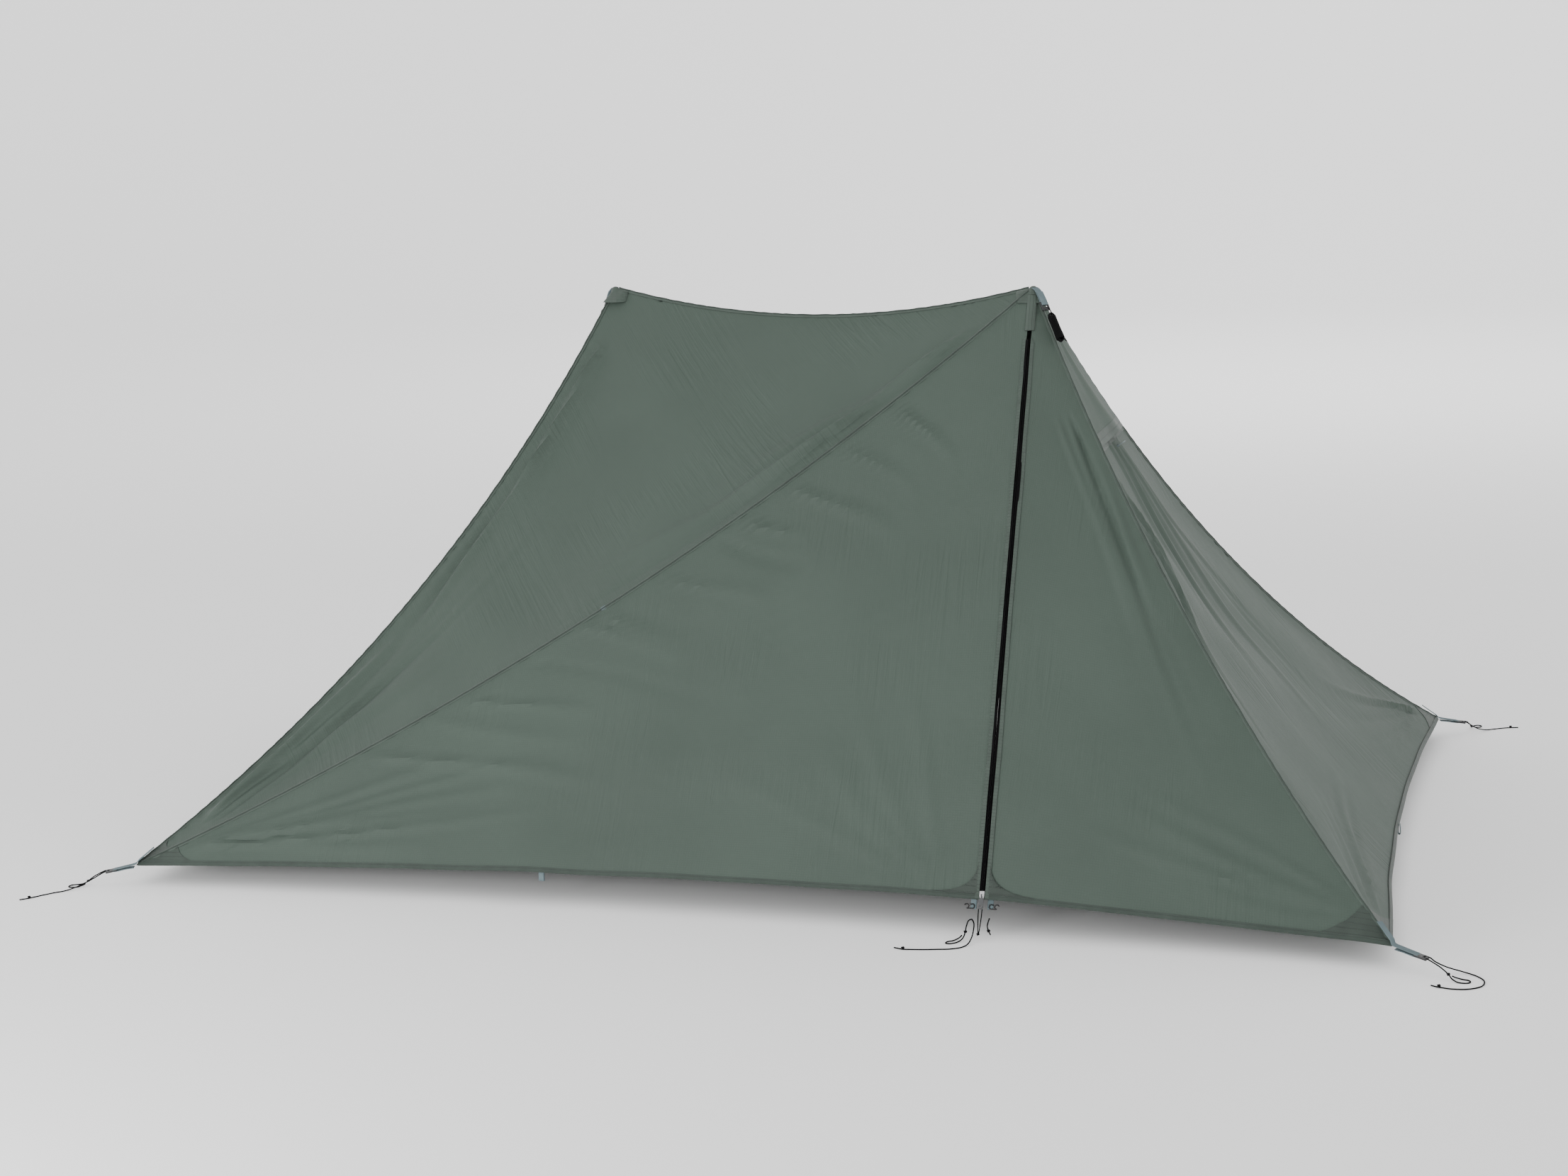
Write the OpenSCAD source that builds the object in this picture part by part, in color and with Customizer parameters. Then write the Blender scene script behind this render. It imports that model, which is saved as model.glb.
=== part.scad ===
// One-person A-frame shelter: a six-panel cloth fly pitched on two upright poles.
// The fly is the same when it is turned half a turn about Z, so the rear half is the
// front half turned round. X runs along the wide side, -Y is the front, the ground is Z = 0.

/* [Fly] */
// Length of the base, corner to corner along the front
base_l = 2540; // [2100:10:3050]
// Width of the base, front to rear
base_w = 1700; // [1400:10:2050]
// Height of the two peaks above the ground
peak_h = 1160; // [960:10:1400]
// Height of the four hem corners above the ground
corner_h = 40; // [34:1:50]
// Distance of each peak from the middle, along the length
peak_x = 500; // [410:10:600]
// Distance of each peak from the middle, across the width
peak_y = 100; // [80:5:120]
// Thickness of the modelled cloth
cloth_t = 3; // [2.5:0.1:3.6]

/* [Curved cut] */
// Fall of the ridge at mid length
ridge_sag = 62; // [40:1:80]
// Hollow of the seam from a peak to its far corner, above the wide door
wide_seam_sag = 79; // [60:1:95]
// Hollow of the seam from a peak to its near corner, beside the narrow door
narrow_seam_sag = 71; // [55:1:85]
// Hollow of the seam between an end wall and the roof
end_seam_sag = 102; // [80:1:122]
// Hollow of an end wall's hem
end_hem_sag = 36; // [20:1:44]
// Hollow of a wide door's hem
wide_hem_sag = 28; // [10:1:34]
// Hollow of a narrow door's hem
narrow_hem_sag = 5; // [2:1:10]
// How far the foot of the zip sits inside the line of the hem corners
foot_in = 42; // [30:1:50]
// How far the foot of the zip is lifted above the hem corners
foot_up = 26; // [20:1:32]

/* [Doors] */
// Distance of the zip's foot from the middle, along the length
foot_x = 520; // [460:5:580]
// Length of fixed cloth between the peak and the top of the zip
zip_top = 112; // [95:1:134]
// Distance from a hem corner to the line that a door folds back on
fold_hem = 150; // [130:1:180]
// Width of the gap beside the fold line
fold_gap = 3; // [2.5:0.1:4]
// Width of one half of the zip, tape and coil
zip_half_w = 5.5; // [5:0.1:6.6]
// Width of one half of the zip's coil
coil_w = 2.6; // [2.2:0.1:3]
// Clearance between the two halves of the zip
zip_clear = 0.6; // [0.4:0.1:0.8]
// Width of the hem binding
hem_w = 10; // [8:0.5:12]

/* [Vents] */
// Distance of a vent's lower edge from the peak
vent_l = 387; // [380:1:460]
// Length of the hood over a vent
hood_l = 370; // [310:1:375]
// How far the middle of the hood's edge stands off the wall
hood_rise = 24; // [20:1:30]
// Width of the strut that props the hood
strut_w = 12; // [10:0.5:14]

/* [Poles] */
// Radius of the upper tube, which slides in the lower one
upper_r = 8; // [6.6:0.1:9.6]
// Running clearance between the two tubes
tube_clear = 0.25; // [0.2:0.05:0.4]
// Wall of both tubes
tube_wall = 0.75; // [0.6:0.05:0.9]
// Length of the lower tube above the foot cap
lower_l = 620; // [520:5:740]
// Length of upper tube inside the lower one
pole_overlap = 80; // [60:5:110]
// Radius of the rubber foot
foot_r = 20; // [17:0.5:24]
// Clearance of a pole's tip in the cup at the peak
cup_clear = 0.6; // [0.4:0.1:0.9]

/* [Lines] */
// Diameter of the guy line
line_d = 2.5; // [2:0.1:3]
// Width of the webbing at the corners and peaks
web_w = 15; // [12:0.5:18]
// Thickness of the webbing
web_t = 1.8; // [1.5:0.1:2.4]

/* [Hidden] */
$fn = 48;

cloth_green = [0.42, 0.46, 0.43];
hem_green = [0.30, 0.35, 0.32];
zip_black = [0.08, 0.08, 0.09];
web_grey = [0.62, 0.68, 0.69];
line_black = [0.06, 0.06, 0.07];

grid = 10;              // facets along each side of a sheet of cloth
seam_r = 3;             // radius of the rolled seams
seam_lap = 2;           // how far a sheet stops short of a seam's middle
tip_gap = 14;           // how far a sheet stops short of a corner or peak
line_r = line_d / 2;
lower_r = upper_r + tube_clear + tube_wall; // radius of the lower tube
floor_z = line_r + 0.1; // height of a line that lies on the ground
knot_r = 4;             // radius of a tied knot
line_steps = 3;         // facets between two chosen points of a line

// Named points of the front half
corner_a = [-base_l / 2, -base_w / 2, corner_h];
corner_b = [base_l / 2, -base_w / 2, corner_h];
corner_c = -corner_a + [0, 0, 2 * corner_h];
peak_1 = [peak_x, -peak_y, peak_h];
peak_2 = [-peak_x, peak_y, peak_h];
zip_foot = [foot_x, -base_w / 2 + foot_in, corner_h + foot_up];

function mix(p, q, t) = p + (q - p) * t;
function unit(v) = v / norm(v);
// Direction square to the line p-q that falls most steeply
function fall(p, q) = let (c = unit(q - p)) unit([0, 0, -1] + c * c[2]);

// A panel is three corner points, then the hollow of its edges 0-1, 1-2 and 2-0
wide_door = [corner_a, zip_foot, peak_1,
    [0, wide_hem_sag, wide_hem_sag / 3], [0, 0, 0], fall(peak_1, corner_a) * wide_seam_sag];
narrow_door = [zip_foot, corner_b, peak_1,
    [0, narrow_hem_sag, narrow_hem_sag / 3], fall(peak_1, corner_b) * narrow_seam_sag, [0, 0, 0]];
end_wall = [corner_b, corner_c, peak_1,
    [-end_hem_sag, 0, 0], fall(peak_1, corner_c) * end_seam_sag,
    fall(peak_1, corner_b) * narrow_seam_sag];
roof = [corner_a, peak_1, peak_2,
    fall(peak_1, corner_a) * wide_seam_sag, [0, 0, -ridge_sag],
    fall(peak_2, corner_a) * end_seam_sag];

// Point of a panel's curved surface, from the weights of its three corners
function on_panel(p, w) = w[0] * p[0] + w[1] * p[1] + w[2] * p[2]
    + 4 * (w[0] * w[1] * p[3] + w[1] * w[2] * p[4] + w[2] * w[0] * p[5]);
function facing(p) = unit(cross(p[1] - p[0], p[2] - p[0]));
// Height of corner i over the opposite edge
function rise(p, i) = norm(cross(p[1] - p[0], p[2] - p[0])) / norm(p[(i + 1) % 3] - p[(i + 2) % 3]);
// Weights of a point a given way along the edge from corner i to corner j
function along(p, i, j, d) = let (s = d / norm(p[j] - p[i]))
    [for (k = [0:2]) k == i ? 1 - s : k == j ? s : 0];
// Weights moved a given way off the edge that faces corner i, towards corner i
function off_edge(p, w, i, d) = let (s = d / rise(p, i))
    [for (k = [0:2]) k == i ? w[k] + s : w[k] * (1 - s)];
// Weights of a point between four corner weights
function between(q, s, t) = mix(mix(q[0], q[1], s), mix(q[3], q[2], s), t);

// Closed sheet over the four-sided part q of panel p. Its outer face is lifted by lift,
// and swells by bulge towards the middle of the q[0]-q[1] side.
module sheet(p, q, nu = grid, nv = grid, t = cloth_t, lift = 0, bulge = 0) {
    out = facing(p);
    outer = [for (j = [0:nv]) for (i = [0:nu])
        on_panel(p, between(q, i / nu, j / nv))
        + out * (lift + bulge * sin(180 * i / nu) * pow(1 - j / nv, 1.5))];
    slab(outer, [for (v = outer) v - out * t], nu, nv);
}

// Closed solid between two grids of points
module slab(outer, inner, nu, nv) {
    w = nu + 1;
    m = len(outer);
    loop = concat([for (i = [0:nu]) i], [for (j = [1:nv]) j * w + nu],
        [for (i = [nu - 1:-1:0]) nv * w + i], [for (j = [nv - 1:-1:1]) j * w]);
    n = len(loop);
    cells = [for (j = [0:nv - 1]) for (i = [0:nu - 1]) j * w + i];
    polyhedron(points = concat(outer, inner), faces = concat(
        [for (a = cells) [a, a + w, a + w + 1]],
        [for (a = cells) [a, a + w + 1, a + 1]],
        [for (a = cells) [m + a, m + a + w + 1, m + a + w]],
        [for (a = cells) [m + a, m + a + 1, m + a + w + 1]],
        [for (i = [0:n - 1]) [loop[i], loop[(i + 1) % n], m + loop[(i + 1) % n]]],
        [for (i = [0:n - 1]) [loop[i], m + loop[(i + 1) % n], m + loop[i]]]));
}

// Smooth curve through chosen points
function spline_at(a, b, c, d, t) = 0.5 * (2 * b + (c - a) * t
    + (2 * a - 5 * b + 4 * c - d) * t * t + (3 * b - a - 3 * c + d) * t * t * t);
function spline(p, k) = let (n = len(p)) concat(
    [for (i = [0:n - 2]) for (j = [0:k - 1])
        spline_at(p[max(i - 1, 0)], p[i], p[i + 1], p[min(i + 2, n - 1)], j / k)],
    [p[n - 1]]);

// Round tube swept along points
module tube(p, r, ref = [0, 0, 1], sides = 8) {
    n = len(p);
    rings = [for (i = [0:n - 1])
        let (t = unit(p[min(i + 1, n - 1)] - p[max(i - 1, 0)]),
            side = unit(cross(t, ref)), up = cross(side, t))
        for (j = [0:sides - 1])
            p[i] + r * (cos(360 * j / sides) * side + sin(360 * j / sides) * up)];
    polyhedron(points = rings, faces = concat(
        [[for (j = [sides - 1:-1:0]) j]],
        [[for (j = [0:sides - 1]) (n - 1) * sides + j]],
        [for (i = [0:n - 2]) for (j = [0:sides - 1]) let (k = (j + 1) % sides)
            [i * sides + j, i * sides + k, (i + 1) * sides + k, (i + 1) * sides + j]]));
}

module rear() rotate([0, 0, 180]) children();
module both() {
    children();
    rear() children();
}

// ---- cloth panels ----

module roof_panel() color(cloth_green)
    sheet(roof, [off_edge(roof, along(roof, 0, 2, tip_gap), 1, seam_lap),
        off_edge(roof, along(roof, 0, 1, tip_gap), 2, seam_lap),
        off_edge(roof, off_edge(roof, [0, 1, 0], 0, seam_lap), 2, seam_lap),
        off_edge(roof, off_edge(roof, [0, 0, 1], 0, seam_lap), 1, seam_lap)]);

vent_b = along(end_wall, 2, 0, vent_l);
vent_c = along(end_wall, 2, 1, vent_l);

module wall_panel() color(cloth_green)
    sheet(end_wall, [off_edge(end_wall, along(end_wall, 0, 1, tip_gap), 1, seam_lap),
        off_edge(end_wall, along(end_wall, 1, 0, tip_gap), 0, seam_lap),
        off_edge(end_wall, vent_c, 0, seam_lap), off_edge(end_wall, vent_b, 1, seam_lap)]);

mesh_gap = upper_r + 18; // distance of the mesh's top from the peak, clear of the pole
module vent_mesh() color("dimgray")
    sheet(end_wall, [off_edge(end_wall, along(end_wall, 2, 0, vent_l - 4), 1, seam_lap),
        off_edge(end_wall, along(end_wall, 2, 1, vent_l - 4), 0, seam_lap),
        off_edge(end_wall, along(end_wall, 2, 1, mesh_gap), 0, seam_lap),
        off_edge(end_wall, along(end_wall, 2, 0, mesh_gap), 1, seam_lap)],
        nv = 6, t = 1.6, lift = -1);

hood_t = 2;
hood_lift = 3.2; // height of the hood's sewn sides over the wall
module vent_hood() color(cloth_green)
    sheet(end_wall, [off_edge(end_wall, along(end_wall, 2, 0, hood_l), 1, seam_lap),
        off_edge(end_wall, along(end_wall, 2, 1, hood_l), 0, seam_lap),
        off_edge(end_wall, along(end_wall, 2, 1, tip_gap * 2), 0, seam_lap),
        off_edge(end_wall, along(end_wall, 2, 0, tip_gap * 2), 1, seam_lap)],
        nv = 8, t = hood_t, lift = hood_lift, bulge = hood_rise);

// Door flap: the triangle between the fold line, the zip and the hem. Corner "from" is the
// panel corner at the fold, "foot" the one at the zip's foot, and the peak is corner 2.
function flap_tri(p, from, foot) = [along(p, from, foot, fold_hem), along(p, foot, from, 0),
    along(p, 2, foot, zip_top)];
function tri_points(p, tri) = [for (w = tri) w * [p[0], p[1], p[2]]];
function inset_weights(p, tri, zip_in, fold_in, hem_in) =
    let (v = tri_points(p, tri), f = zip_in / rise(v, 0), z = fold_in / rise(v, 1),
        h = hem_in / rise(v, 2))
    [[1 - z - h, z, h], [f, 1 - f - h, h], [f, z, 1 - f - z]];
top_step = 0.012; // share of the fold line that the flap's blunt top takes
function flap_quad(p, from, foot, zip_in, hem_in) =
    let (tri = flap_tri(p, from, foot), c = inset_weights(p, tri, zip_in, fold_gap, hem_in),
        corners = [c[0] * tri, c[1] * tri, c[2] * tri, mix(c[2], c[0], top_step) * tri])
    from == 0 ? corners : [corners[1], corners[0], corners[3], corners[2]];

module flap(p, from, foot) color(cloth_green)
    sheet(p, flap_quad(p, from, foot, zip_half_w, hem_w));

// Binding along the foot of a flap
module flap_hem(p, from, foot) {
    low = flap_quad(p, from, foot, zip_half_w, 0);
    high = flap_quad(p, from, foot, zip_half_w, hem_w);
    color(hem_green) sheet(p, [low[0], low[1], high[1], high[0]], nv = 1, t = cloth_t + 0.8, lift = 0.4);
}

// Cloth of a door panel that stays with the canopy: beside the seam and over the zip
module surround(p, from, foot) {
    near_corner = off_edge(p, along(p, from, foot, tip_gap), foot, seam_lap);
    at_fold = along(p, from, foot, fold_hem - fold_gap - 1);
    at_zip = off_edge(p, along(p, 2, foot, zip_top - 2 * fold_gap), from, 0.4);
    near_peak = off_edge(p, along(p, 2, from, tip_gap), foot, seam_lap);
    q = from == 0 ? [near_corner, at_fold, at_zip, near_peak]
        : [at_fold, near_corner, near_peak, at_zip];
    color(cloth_green) sheet(p, q);
}

// ---- seams, hems and patches ----

function edge_curve(p, i, j, trim) = let (a = trim / norm(p[j] - p[i]))
    [for (k = [0:grid]) let (s = mix(a, 1 - a, k / grid))
        on_panel(p, [for (m = [0:2]) m == i ? 1 - s : m == j ? s : 0])];

module ridge_seam() color(hem_green) tube(edge_curve(roof, 1, 2, tip_gap + 8), seam_r);
module front_corner_seams() color(hem_green) {
    tube(edge_curve(wide_door, 0, 2, tip_gap), seam_r);
    tube(edge_curve(narrow_door, 1, 2, tip_gap), seam_r);
    tube(edge_curve(end_wall, 1, 2, tip_gap), seam_r);
}
module end_hem() color(hem_green) tube(edge_curve(end_wall, 0, 1, tip_gap), seam_r);

patch_l = 105;  // length of a corner patch along the hem
patch_h = 62;   // height of a corner patch along the seam
patch_t = 1.6;
module corner_patch(p, i, j) {
    side = i < j || (i == 2);
    low = off_edge(p, along(p, i, j, tip_gap + 6), j, seam_lap + 3);
    far = along(p, i, j, patch_l);
    high = off_edge(p, along(p, i, 2, patch_h), j, seam_lap + 3);
    mid = mix(far, high, 0.5) + 0.012 * (along(p, j, 2, 0) - along(p, i, 2, 0));
    q = side ? [low, far, mid, high] : [far, low, high, mid];
    color(hem_green) sheet(p, q, nu = 4, nv = 4, t = patch_t, lift = patch_t / 2);
}
module front_patches() {
    corner_patch(wide_door, 0, 1);
    corner_patch(narrow_door, 1, 0);
    corner_patch(end_wall, 0, 1);
    corner_patch(end_wall, 1, 0);
}

// ---- peak fittings ----

tip_r = upper_r;                    // radius of the ferrule on the upper tube
cup_depth = 18;                     // depth of the socket in the peak cap
tip_top = peak_h - 24;              // height of the ferrule's end
cap_r = 19;                         // radius of the cap over the peak
cap_rise = 4;                       // how far the cap stands over the peak
module peak_cap() color(hem_green) translate([peak_x, -peak_y, 0]) rotate_extrude()
    polygon([[0, tip_top + cup_clear], [tip_r + cup_clear, tip_top + cup_clear],
        [tip_r + cup_clear, tip_top - cup_depth], [tip_r + 3.4, tip_top - cup_depth],
        [cap_r, peak_h - 20], [cap_r * 0.8, peak_h - 7], [cap_r * 0.45, peak_h + 1],
        [0, peak_h + cap_rise]]);

// Direction in which the peak webbing and its hank of line lie, down the near corner seam
seam_run = unit(on_panel(narrow_door, along(narrow_door, 2, 1, 230)) - peak_1);
seam_out = unit(facing(narrow_door) + facing(end_wall));
module by_seam(d, lift) {
    z = seam_run;
    y = unit(seam_out - z * (seam_out * z));
    x = cross(y, z);
    o = peak_1 + z * d + y * lift;
    multmatrix([[x[0], y[0], z[0], o[0]], [x[1], y[1], z[1], o[1]], [x[2], y[2], z[2], o[2]]])
        children();
}
hank_start = 66;    // distance of the hank from the peak
hank_l = 88;        // length of the hank
hank_w = 20;        // width of the hank
hank_t = 15;        // thickness of the hank
hank_lift = 20;     // height of the hank's middle over the seam line
peak_web_start = 14;                // distance of the peak webbing from the peak
peak_web_l = 34;
peak_web_lift = hank_lift - 9;
buckle = [18, 6, 20];               // width, thickness and length of the peak's buckle
buckle_slot = [3, 8];               // width and length of its two slots
module peak_webbing() {
    color(web_grey) by_seam(peak_web_start, peak_web_lift)
        translate([-web_w / 2, 0, 0]) cube([web_w, web_t, peak_web_l]);
    color(line_black) by_seam(peak_web_start + peak_web_l - 4, peak_web_lift - 2)
        translate([-buckle[0] / 2, 0, 0]) difference() {
            cube(buckle);
            for (x = [4, buckle[0] - 4 - buckle_slot[0]]) translate([x, -1, 6])
                cube([buckle_slot[0], buckle[1] + 2, buckle_slot[1]]);
        }
}
module peak_hank() color(line_black) by_seam(hank_start, hank_lift)
    rotate([90, 0, 0]) translate([0, 0, -hank_t / 2]) linear_extrude(hank_t) hull() {
        translate([0, hank_w * 0.5]) circle(d = hank_w * 0.9);
        translate([0, hank_l - hank_w / 2]) circle(d = hank_w);
    }

// ---- corner fittings ----

// Angle of each corner's webbing seen from above, out from the corner
line_angles = [200, -22, 20, 158];
corners = [corner_a, corner_b, corner_c, -corner_b + [0, 0, 2 * corner_h]];
web_out = 46;       // how far the corner webbing reaches past the corner
web_fall = 8;       // how far it falls on the way
adjuster_l = 24;
adjuster_w = 15;
adjuster_t = 5;
module at_corner(i) translate(corners[i]) rotate([0, 0, line_angles[i]]) children();
web_tilt = atan(web_fall / web_out);
module corner_web(i) color(web_grey) at_corner(i) rotate([0, web_tilt, 0])
    translate([-12, -web_w / 2, -web_t / 2]) cube([web_out + 12, web_w, web_t]);
module line_adjuster(i) color(line_black) at_corner(i) rotate([0, web_tilt, 0])
    translate([web_out - 6, -adjuster_w / 2, -adjuster_t / 2]) difference() {
        cube([adjuster_l, adjuster_w, adjuster_t]);
        translate([2.4, 2, -1]) cube([3.2, adjuster_w - 4, adjuster_t + 2]);
        translate([adjuster_l - 8, 3, -1]) cube([3.6, adjuster_w - 6, adjuster_t + 2]);
    }

// Small folded webbing loops: one under each end hem, one halfway up each wide seam
loop_l = 16;
loop_w = 11;
loop_t = 3.6;           // thickness of the folded webbing
module small_loop(at, turn) color(web_grey) translate(at) rotate(turn)
    translate([-loop_w / 2, -loop_t / 2, -loop_l]) cube([loop_w, loop_t, loop_l + 1]);
module front_loops() {
    small_loop(on_panel(end_wall, [0.55, 0.45, 0]), [0, 0, 90]);
    small_loop(on_panel(roof, [0.5, 0.5, 0]), [-30, 0, 24]);
}

// The binding of a wide door has a loop at its middle
module wide_flap_hem() {
    flap_hem(wide_door, 0, 1);
    small_loop(on_panel(wide_door, [0.5, 0.5, 0]), [0, 0, 0]);
}

// Routes of the corner lines, from the knotted tail, round the bar of the adjuster, and down
// to the tied loop that a peg goes through. Each point is measured out along the webbing,
// to its left, and up from the ground.
route_a = [[227, 79, floor_z], [209, 71, floor_z], [189, 57, floor_z], [166, 42, floor_z],
    [140, 30, 2], [115, 19, 8], [92, 10, 17], [76, 5.6, 25], [66, 5, 30], [60, 3.6, 31],
    [58, 0, 31], [60, -3.6, 31], [66, -5, 30], [76, -5, 26], [90, -4, 19], [103, -4, 10],
    [112, -8, 4], [124, -11, floor_z], [137, -9, floor_z], [143, 0, floor_z],
    [137, 8, floor_z], [124, 8, floor_z], [113, 4, 3.6], [107, 2, 6]];
route_b = [[92, -50, floor_z], [107, -51, floor_z], [130, -47, floor_z], [152, -33, floor_z],
    [165, -8, floor_z], [158, 20, floor_z], [136, 37, floor_z], [110, 38, 4], [88, 24, 12],
    [74, 9, 23], [66, 5, 30], [60, 3.6, 31], [58, 0, 31], [60, -3.6, 31], [66, -5, 30],
    [76, -5, 26], [90, -4, 19], [103, -4, 10], [112, -8, 4], [124, -11, floor_z],
    [136, -8, floor_z], [141, 0, floor_z], [136, 8, floor_z], [124, 8, floor_z],
    [113, 4, 3.6], [107, 2, 6]];
route_c = [[204, 34, floor_z], [186, 36, floor_z], [164, 35, floor_z], [142, 29, floor_z],
    [120, 20, 3], [98, 8, 10], [80, -2, 21], [66, -5, 30], [60, -3.6, 31], [58, 0, 31],
    [60, 3.6, 31], [66, 6, 30], [74, 14, 26], [83, 26, 18], [92, 39, 9],
    [96, 51, 3.6], [101, 62, floor_z], [110, 71, floor_z], [120, 73, floor_z],
    [125, 65, floor_z], [119, 55, floor_z], [108, 47, 3], [100, 42, 5.6]];
routes = [route_a, route_b, route_c, route_b];
loop_knots = [15, 17, 14, 17];  // the point of each route at which its loop is tied
function set_down(i) = let (c = cos(line_angles[i]), s = sin(line_angles[i]))
    [for (v = routes[i]) [corners[i][0] + c * v[0] - s * v[1], corners[i][1] + s * v[0] + c * v[1], v[2]]];

module corner_line(i) color(line_black)
    tube(spline(set_down(i), line_steps), line_r);

// Knots: one near each tail's end, one where each peg loop is tied
module knot(at) color(line_black) translate(at) sphere(r = knot_r);
module line_knots() {
    for (i = [0:3]) {
        route = set_down(i);
        knot([route[1][0], route[1][1], knot_r]);
        knot(route[loop_knots[i]]);
    }
    both() translate(zip_ground) {
        knot([door_route[1][0], door_route[1][1], knot_r]);
        knot(door_route[door_knot]);
        knot(door_strand[3]);
    }
}

// ---- door foot ----

// Frame at the foot of the zip: X along the hem, Y out of the cloth, Z up the zip
zip_run = unit(peak_1 - zip_foot);
zip_out = let (n = unit(facing(wide_door) + facing(narrow_door))) unit(n - zip_run * (n * zip_run));
zip_side = cross(zip_out, zip_run);
module at_zip() multmatrix([
    [zip_side[0], zip_out[0], zip_run[0], zip_foot[0]],
    [zip_side[1], zip_out[1], zip_run[1], zip_foot[1]],
    [zip_side[2], zip_out[2], zip_run[2], zip_foot[2]]]) children();
zip_l = norm(peak_1 - zip_foot);

slider_l = 13;          // length of a slider along the zip
slider_w = 9;           // width of a slider
coil_t = 2.2;           // height of the coil over the cloth
tape_start = 17;        // where the tapes begin, above the slider's rest place
tape_end = zip_l - zip_top - 10; // where the tapes end, short of the fixed cloth
// s is +1 on the wide door's side of the zip and -1 on the narrow door's side
module zip_half(s) color(zip_black) at_zip() {
    x0 = zip_clear / 2;
    translate([s > 0 ? x0 : -x0 - zip_half_w + 1, -cloth_t / 2, tape_start])
        cube([zip_half_w - 1, 0.9, tape_end - tape_start]);
    translate([s > 0 ? x0 : -x0 - coil_w, 0.9 - cloth_t / 2, tape_start])
        cube([coil_w, coil_t, tape_end - tape_start]);
}

slider_lift = coil_t + 0.9 - cloth_t / 2 + 0.5; // under-face of the slider over the coil
slider_t = 3;
module zip_slider() color("silver") at_zip() translate([0, slider_lift, 1]) {
    difference() {
        translate([-slider_w / 2, 0, 0]) cube([slider_w, slider_t, slider_l]);
        for (s = [-1, 1]) translate([s * slider_w * 0.62, -1, 0]) rotate([0, s * 14, 0])
            translate([-2, 0, -4]) cube([4, slider_t + 2, slider_l]);
    }
    for (s = [-1, 1]) translate([s * 1.9 - 0.6, slider_t - 0.2, 2.5]) cube([1.2, 3.4, 5]);
    translate([0, slider_t + 2.4, 5]) rotate([0, 90, 0]) cylinder(r = pin_r, h = 4, center = true);
}

pull_pin = [0, slider_lift + slider_t + 2.4, 6]; // hinge of the pull, in the zip's frame
pin_r = 0.6;        // radius of the pin across the slider's bail
pin_clear = 0.08;   // running clearance of a small hinge pin
pull_l = 27;
pull_w = 9;
pull_t = 2.2;
neck_l = 6;         // length of the neck between the pull's eye and its oval
module zip_pull() color([0.25, 0.26, 0.27]) at_zip() translate(pull_pin) difference() {
    union() {
        rotate([0, 90, 0]) cylinder(r = 1.9, h = pull_t, center = true);
        translate([-pull_t / 2, -pull_t / 2, -neck_l - 1]) cube([pull_t, pull_t, neck_l]);
        rotate([90, 0, 0]) translate([0, 0, -pull_t / 2]) linear_extrude(pull_t) {
            translate([0, -neck_l - pull_w / 2]) circle(d = pull_w);
            translate([0, -pull_l + pull_w / 2]) circle(d = pull_w);
            translate([-pull_w / 2, -pull_l + pull_w / 2])
                square([pull_w, pull_l - neck_l - pull_w]);
        }
    }
    rotate([0, 90, 0]) cylinder(r = pin_r + pin_clear, h = 4, center = true);
    translate([0, 0, -pull_l + 4.4]) rotate([90, 0, 0]) cylinder(r = 2.2, h = 4, center = true);
}
cord_drop = 48; // length of the doubled cord on the pull
module pull_cord() color(line_black) at_zip() translate(pull_pin) {
    for (s = [-1, 1]) tube([for (k = [0:6]) let (f = k / 6)
        [s * 3.4 * cos(80 * f), 0, -pull_l - 0.2 - cord_drop * f]], 1, [0, 1, 0]);
    translate([0, 0, -pull_l - cord_drop]) sphere(r = 3.2);
}

// Webbing loop and plastic hook at the foot of each flap
clip_web_w = 11;
clip_web_in = 16;   // distance of the webbing's middle from the zip
clip_drop = 17;     // how far the webbing hangs under the hem
hook_l = 24;
hook_w = 11;
hook_t = 4;
hook_eye = 5.2;     // width of the hole in the hook
hook_gap = 2.6;     // width of the slit that the loop slips in by
module door_clip(s) at_zip() {
    color(web_grey) translate([s * clip_web_in - clip_web_w / 2, -cloth_t - web_t + 0.3, -clip_drop])
        cube([clip_web_w, web_t, clip_drop + hem_w]);
    color(line_black) translate([s * (clip_web_in + 8), -cloth_t / 2 - web_t, -clip_drop + 4])
        rotate([90, 0, 0]) translate([0, 0, -hook_t / 2]) linear_extrude(hook_t) difference() {
            translate([-hook_l / 2 + s * 2, -hook_w / 2]) square([hook_l, hook_w]);
            translate([s * 5, 0]) circle(d = hook_eye);
            translate([s * 5 + (s > 0 ? 0 : -hook_l / 2), -hook_gap / 2]) square([hook_l / 2, hook_gap]);
        }
}

// Routes at the door's foot, measured from the zip's foot and the ground
door_route = [[-142, -118, floor_z], [-124, -124, floor_z], [-106, -122, floor_z],
    [-84, -118, floor_z], [-62, -112, floor_z], [-40, -106, floor_z], [-22, -94, floor_z],
    [-12, -78, 3], [-8, -62, 10], [-7, -48, 20], [-8, -38, 31], [-13, -33, 37],
    [-19, -35, 34], [-22, -40, 25], [-23, -46, 16], [-25, -53, 8], [-30, -61, 3],
    [-37, -69, floor_z], [-46, -76, floor_z], [-54, -75, floor_z], [-53, -66, floor_z],
    [-44, -58, floor_z], [-34, -51, 5], [-29, -48, 10]];
door_knot = 14;     // the point of the route at which its loop is tied
door_strand = [[20, -30, 40], [18, -33, 33], [17, -36, 26], [20, -41, 19], [25, -46, 13]];
zip_ground = [zip_foot[0], zip_foot[1], 0];
module door_line() color(line_black) {
    tube(spline([for (v = door_route) v + zip_ground], line_steps), line_r);
    tube(spline([for (v = door_strand) v + zip_ground], line_steps), line_r);
}

// ---- vent strut ----

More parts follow.
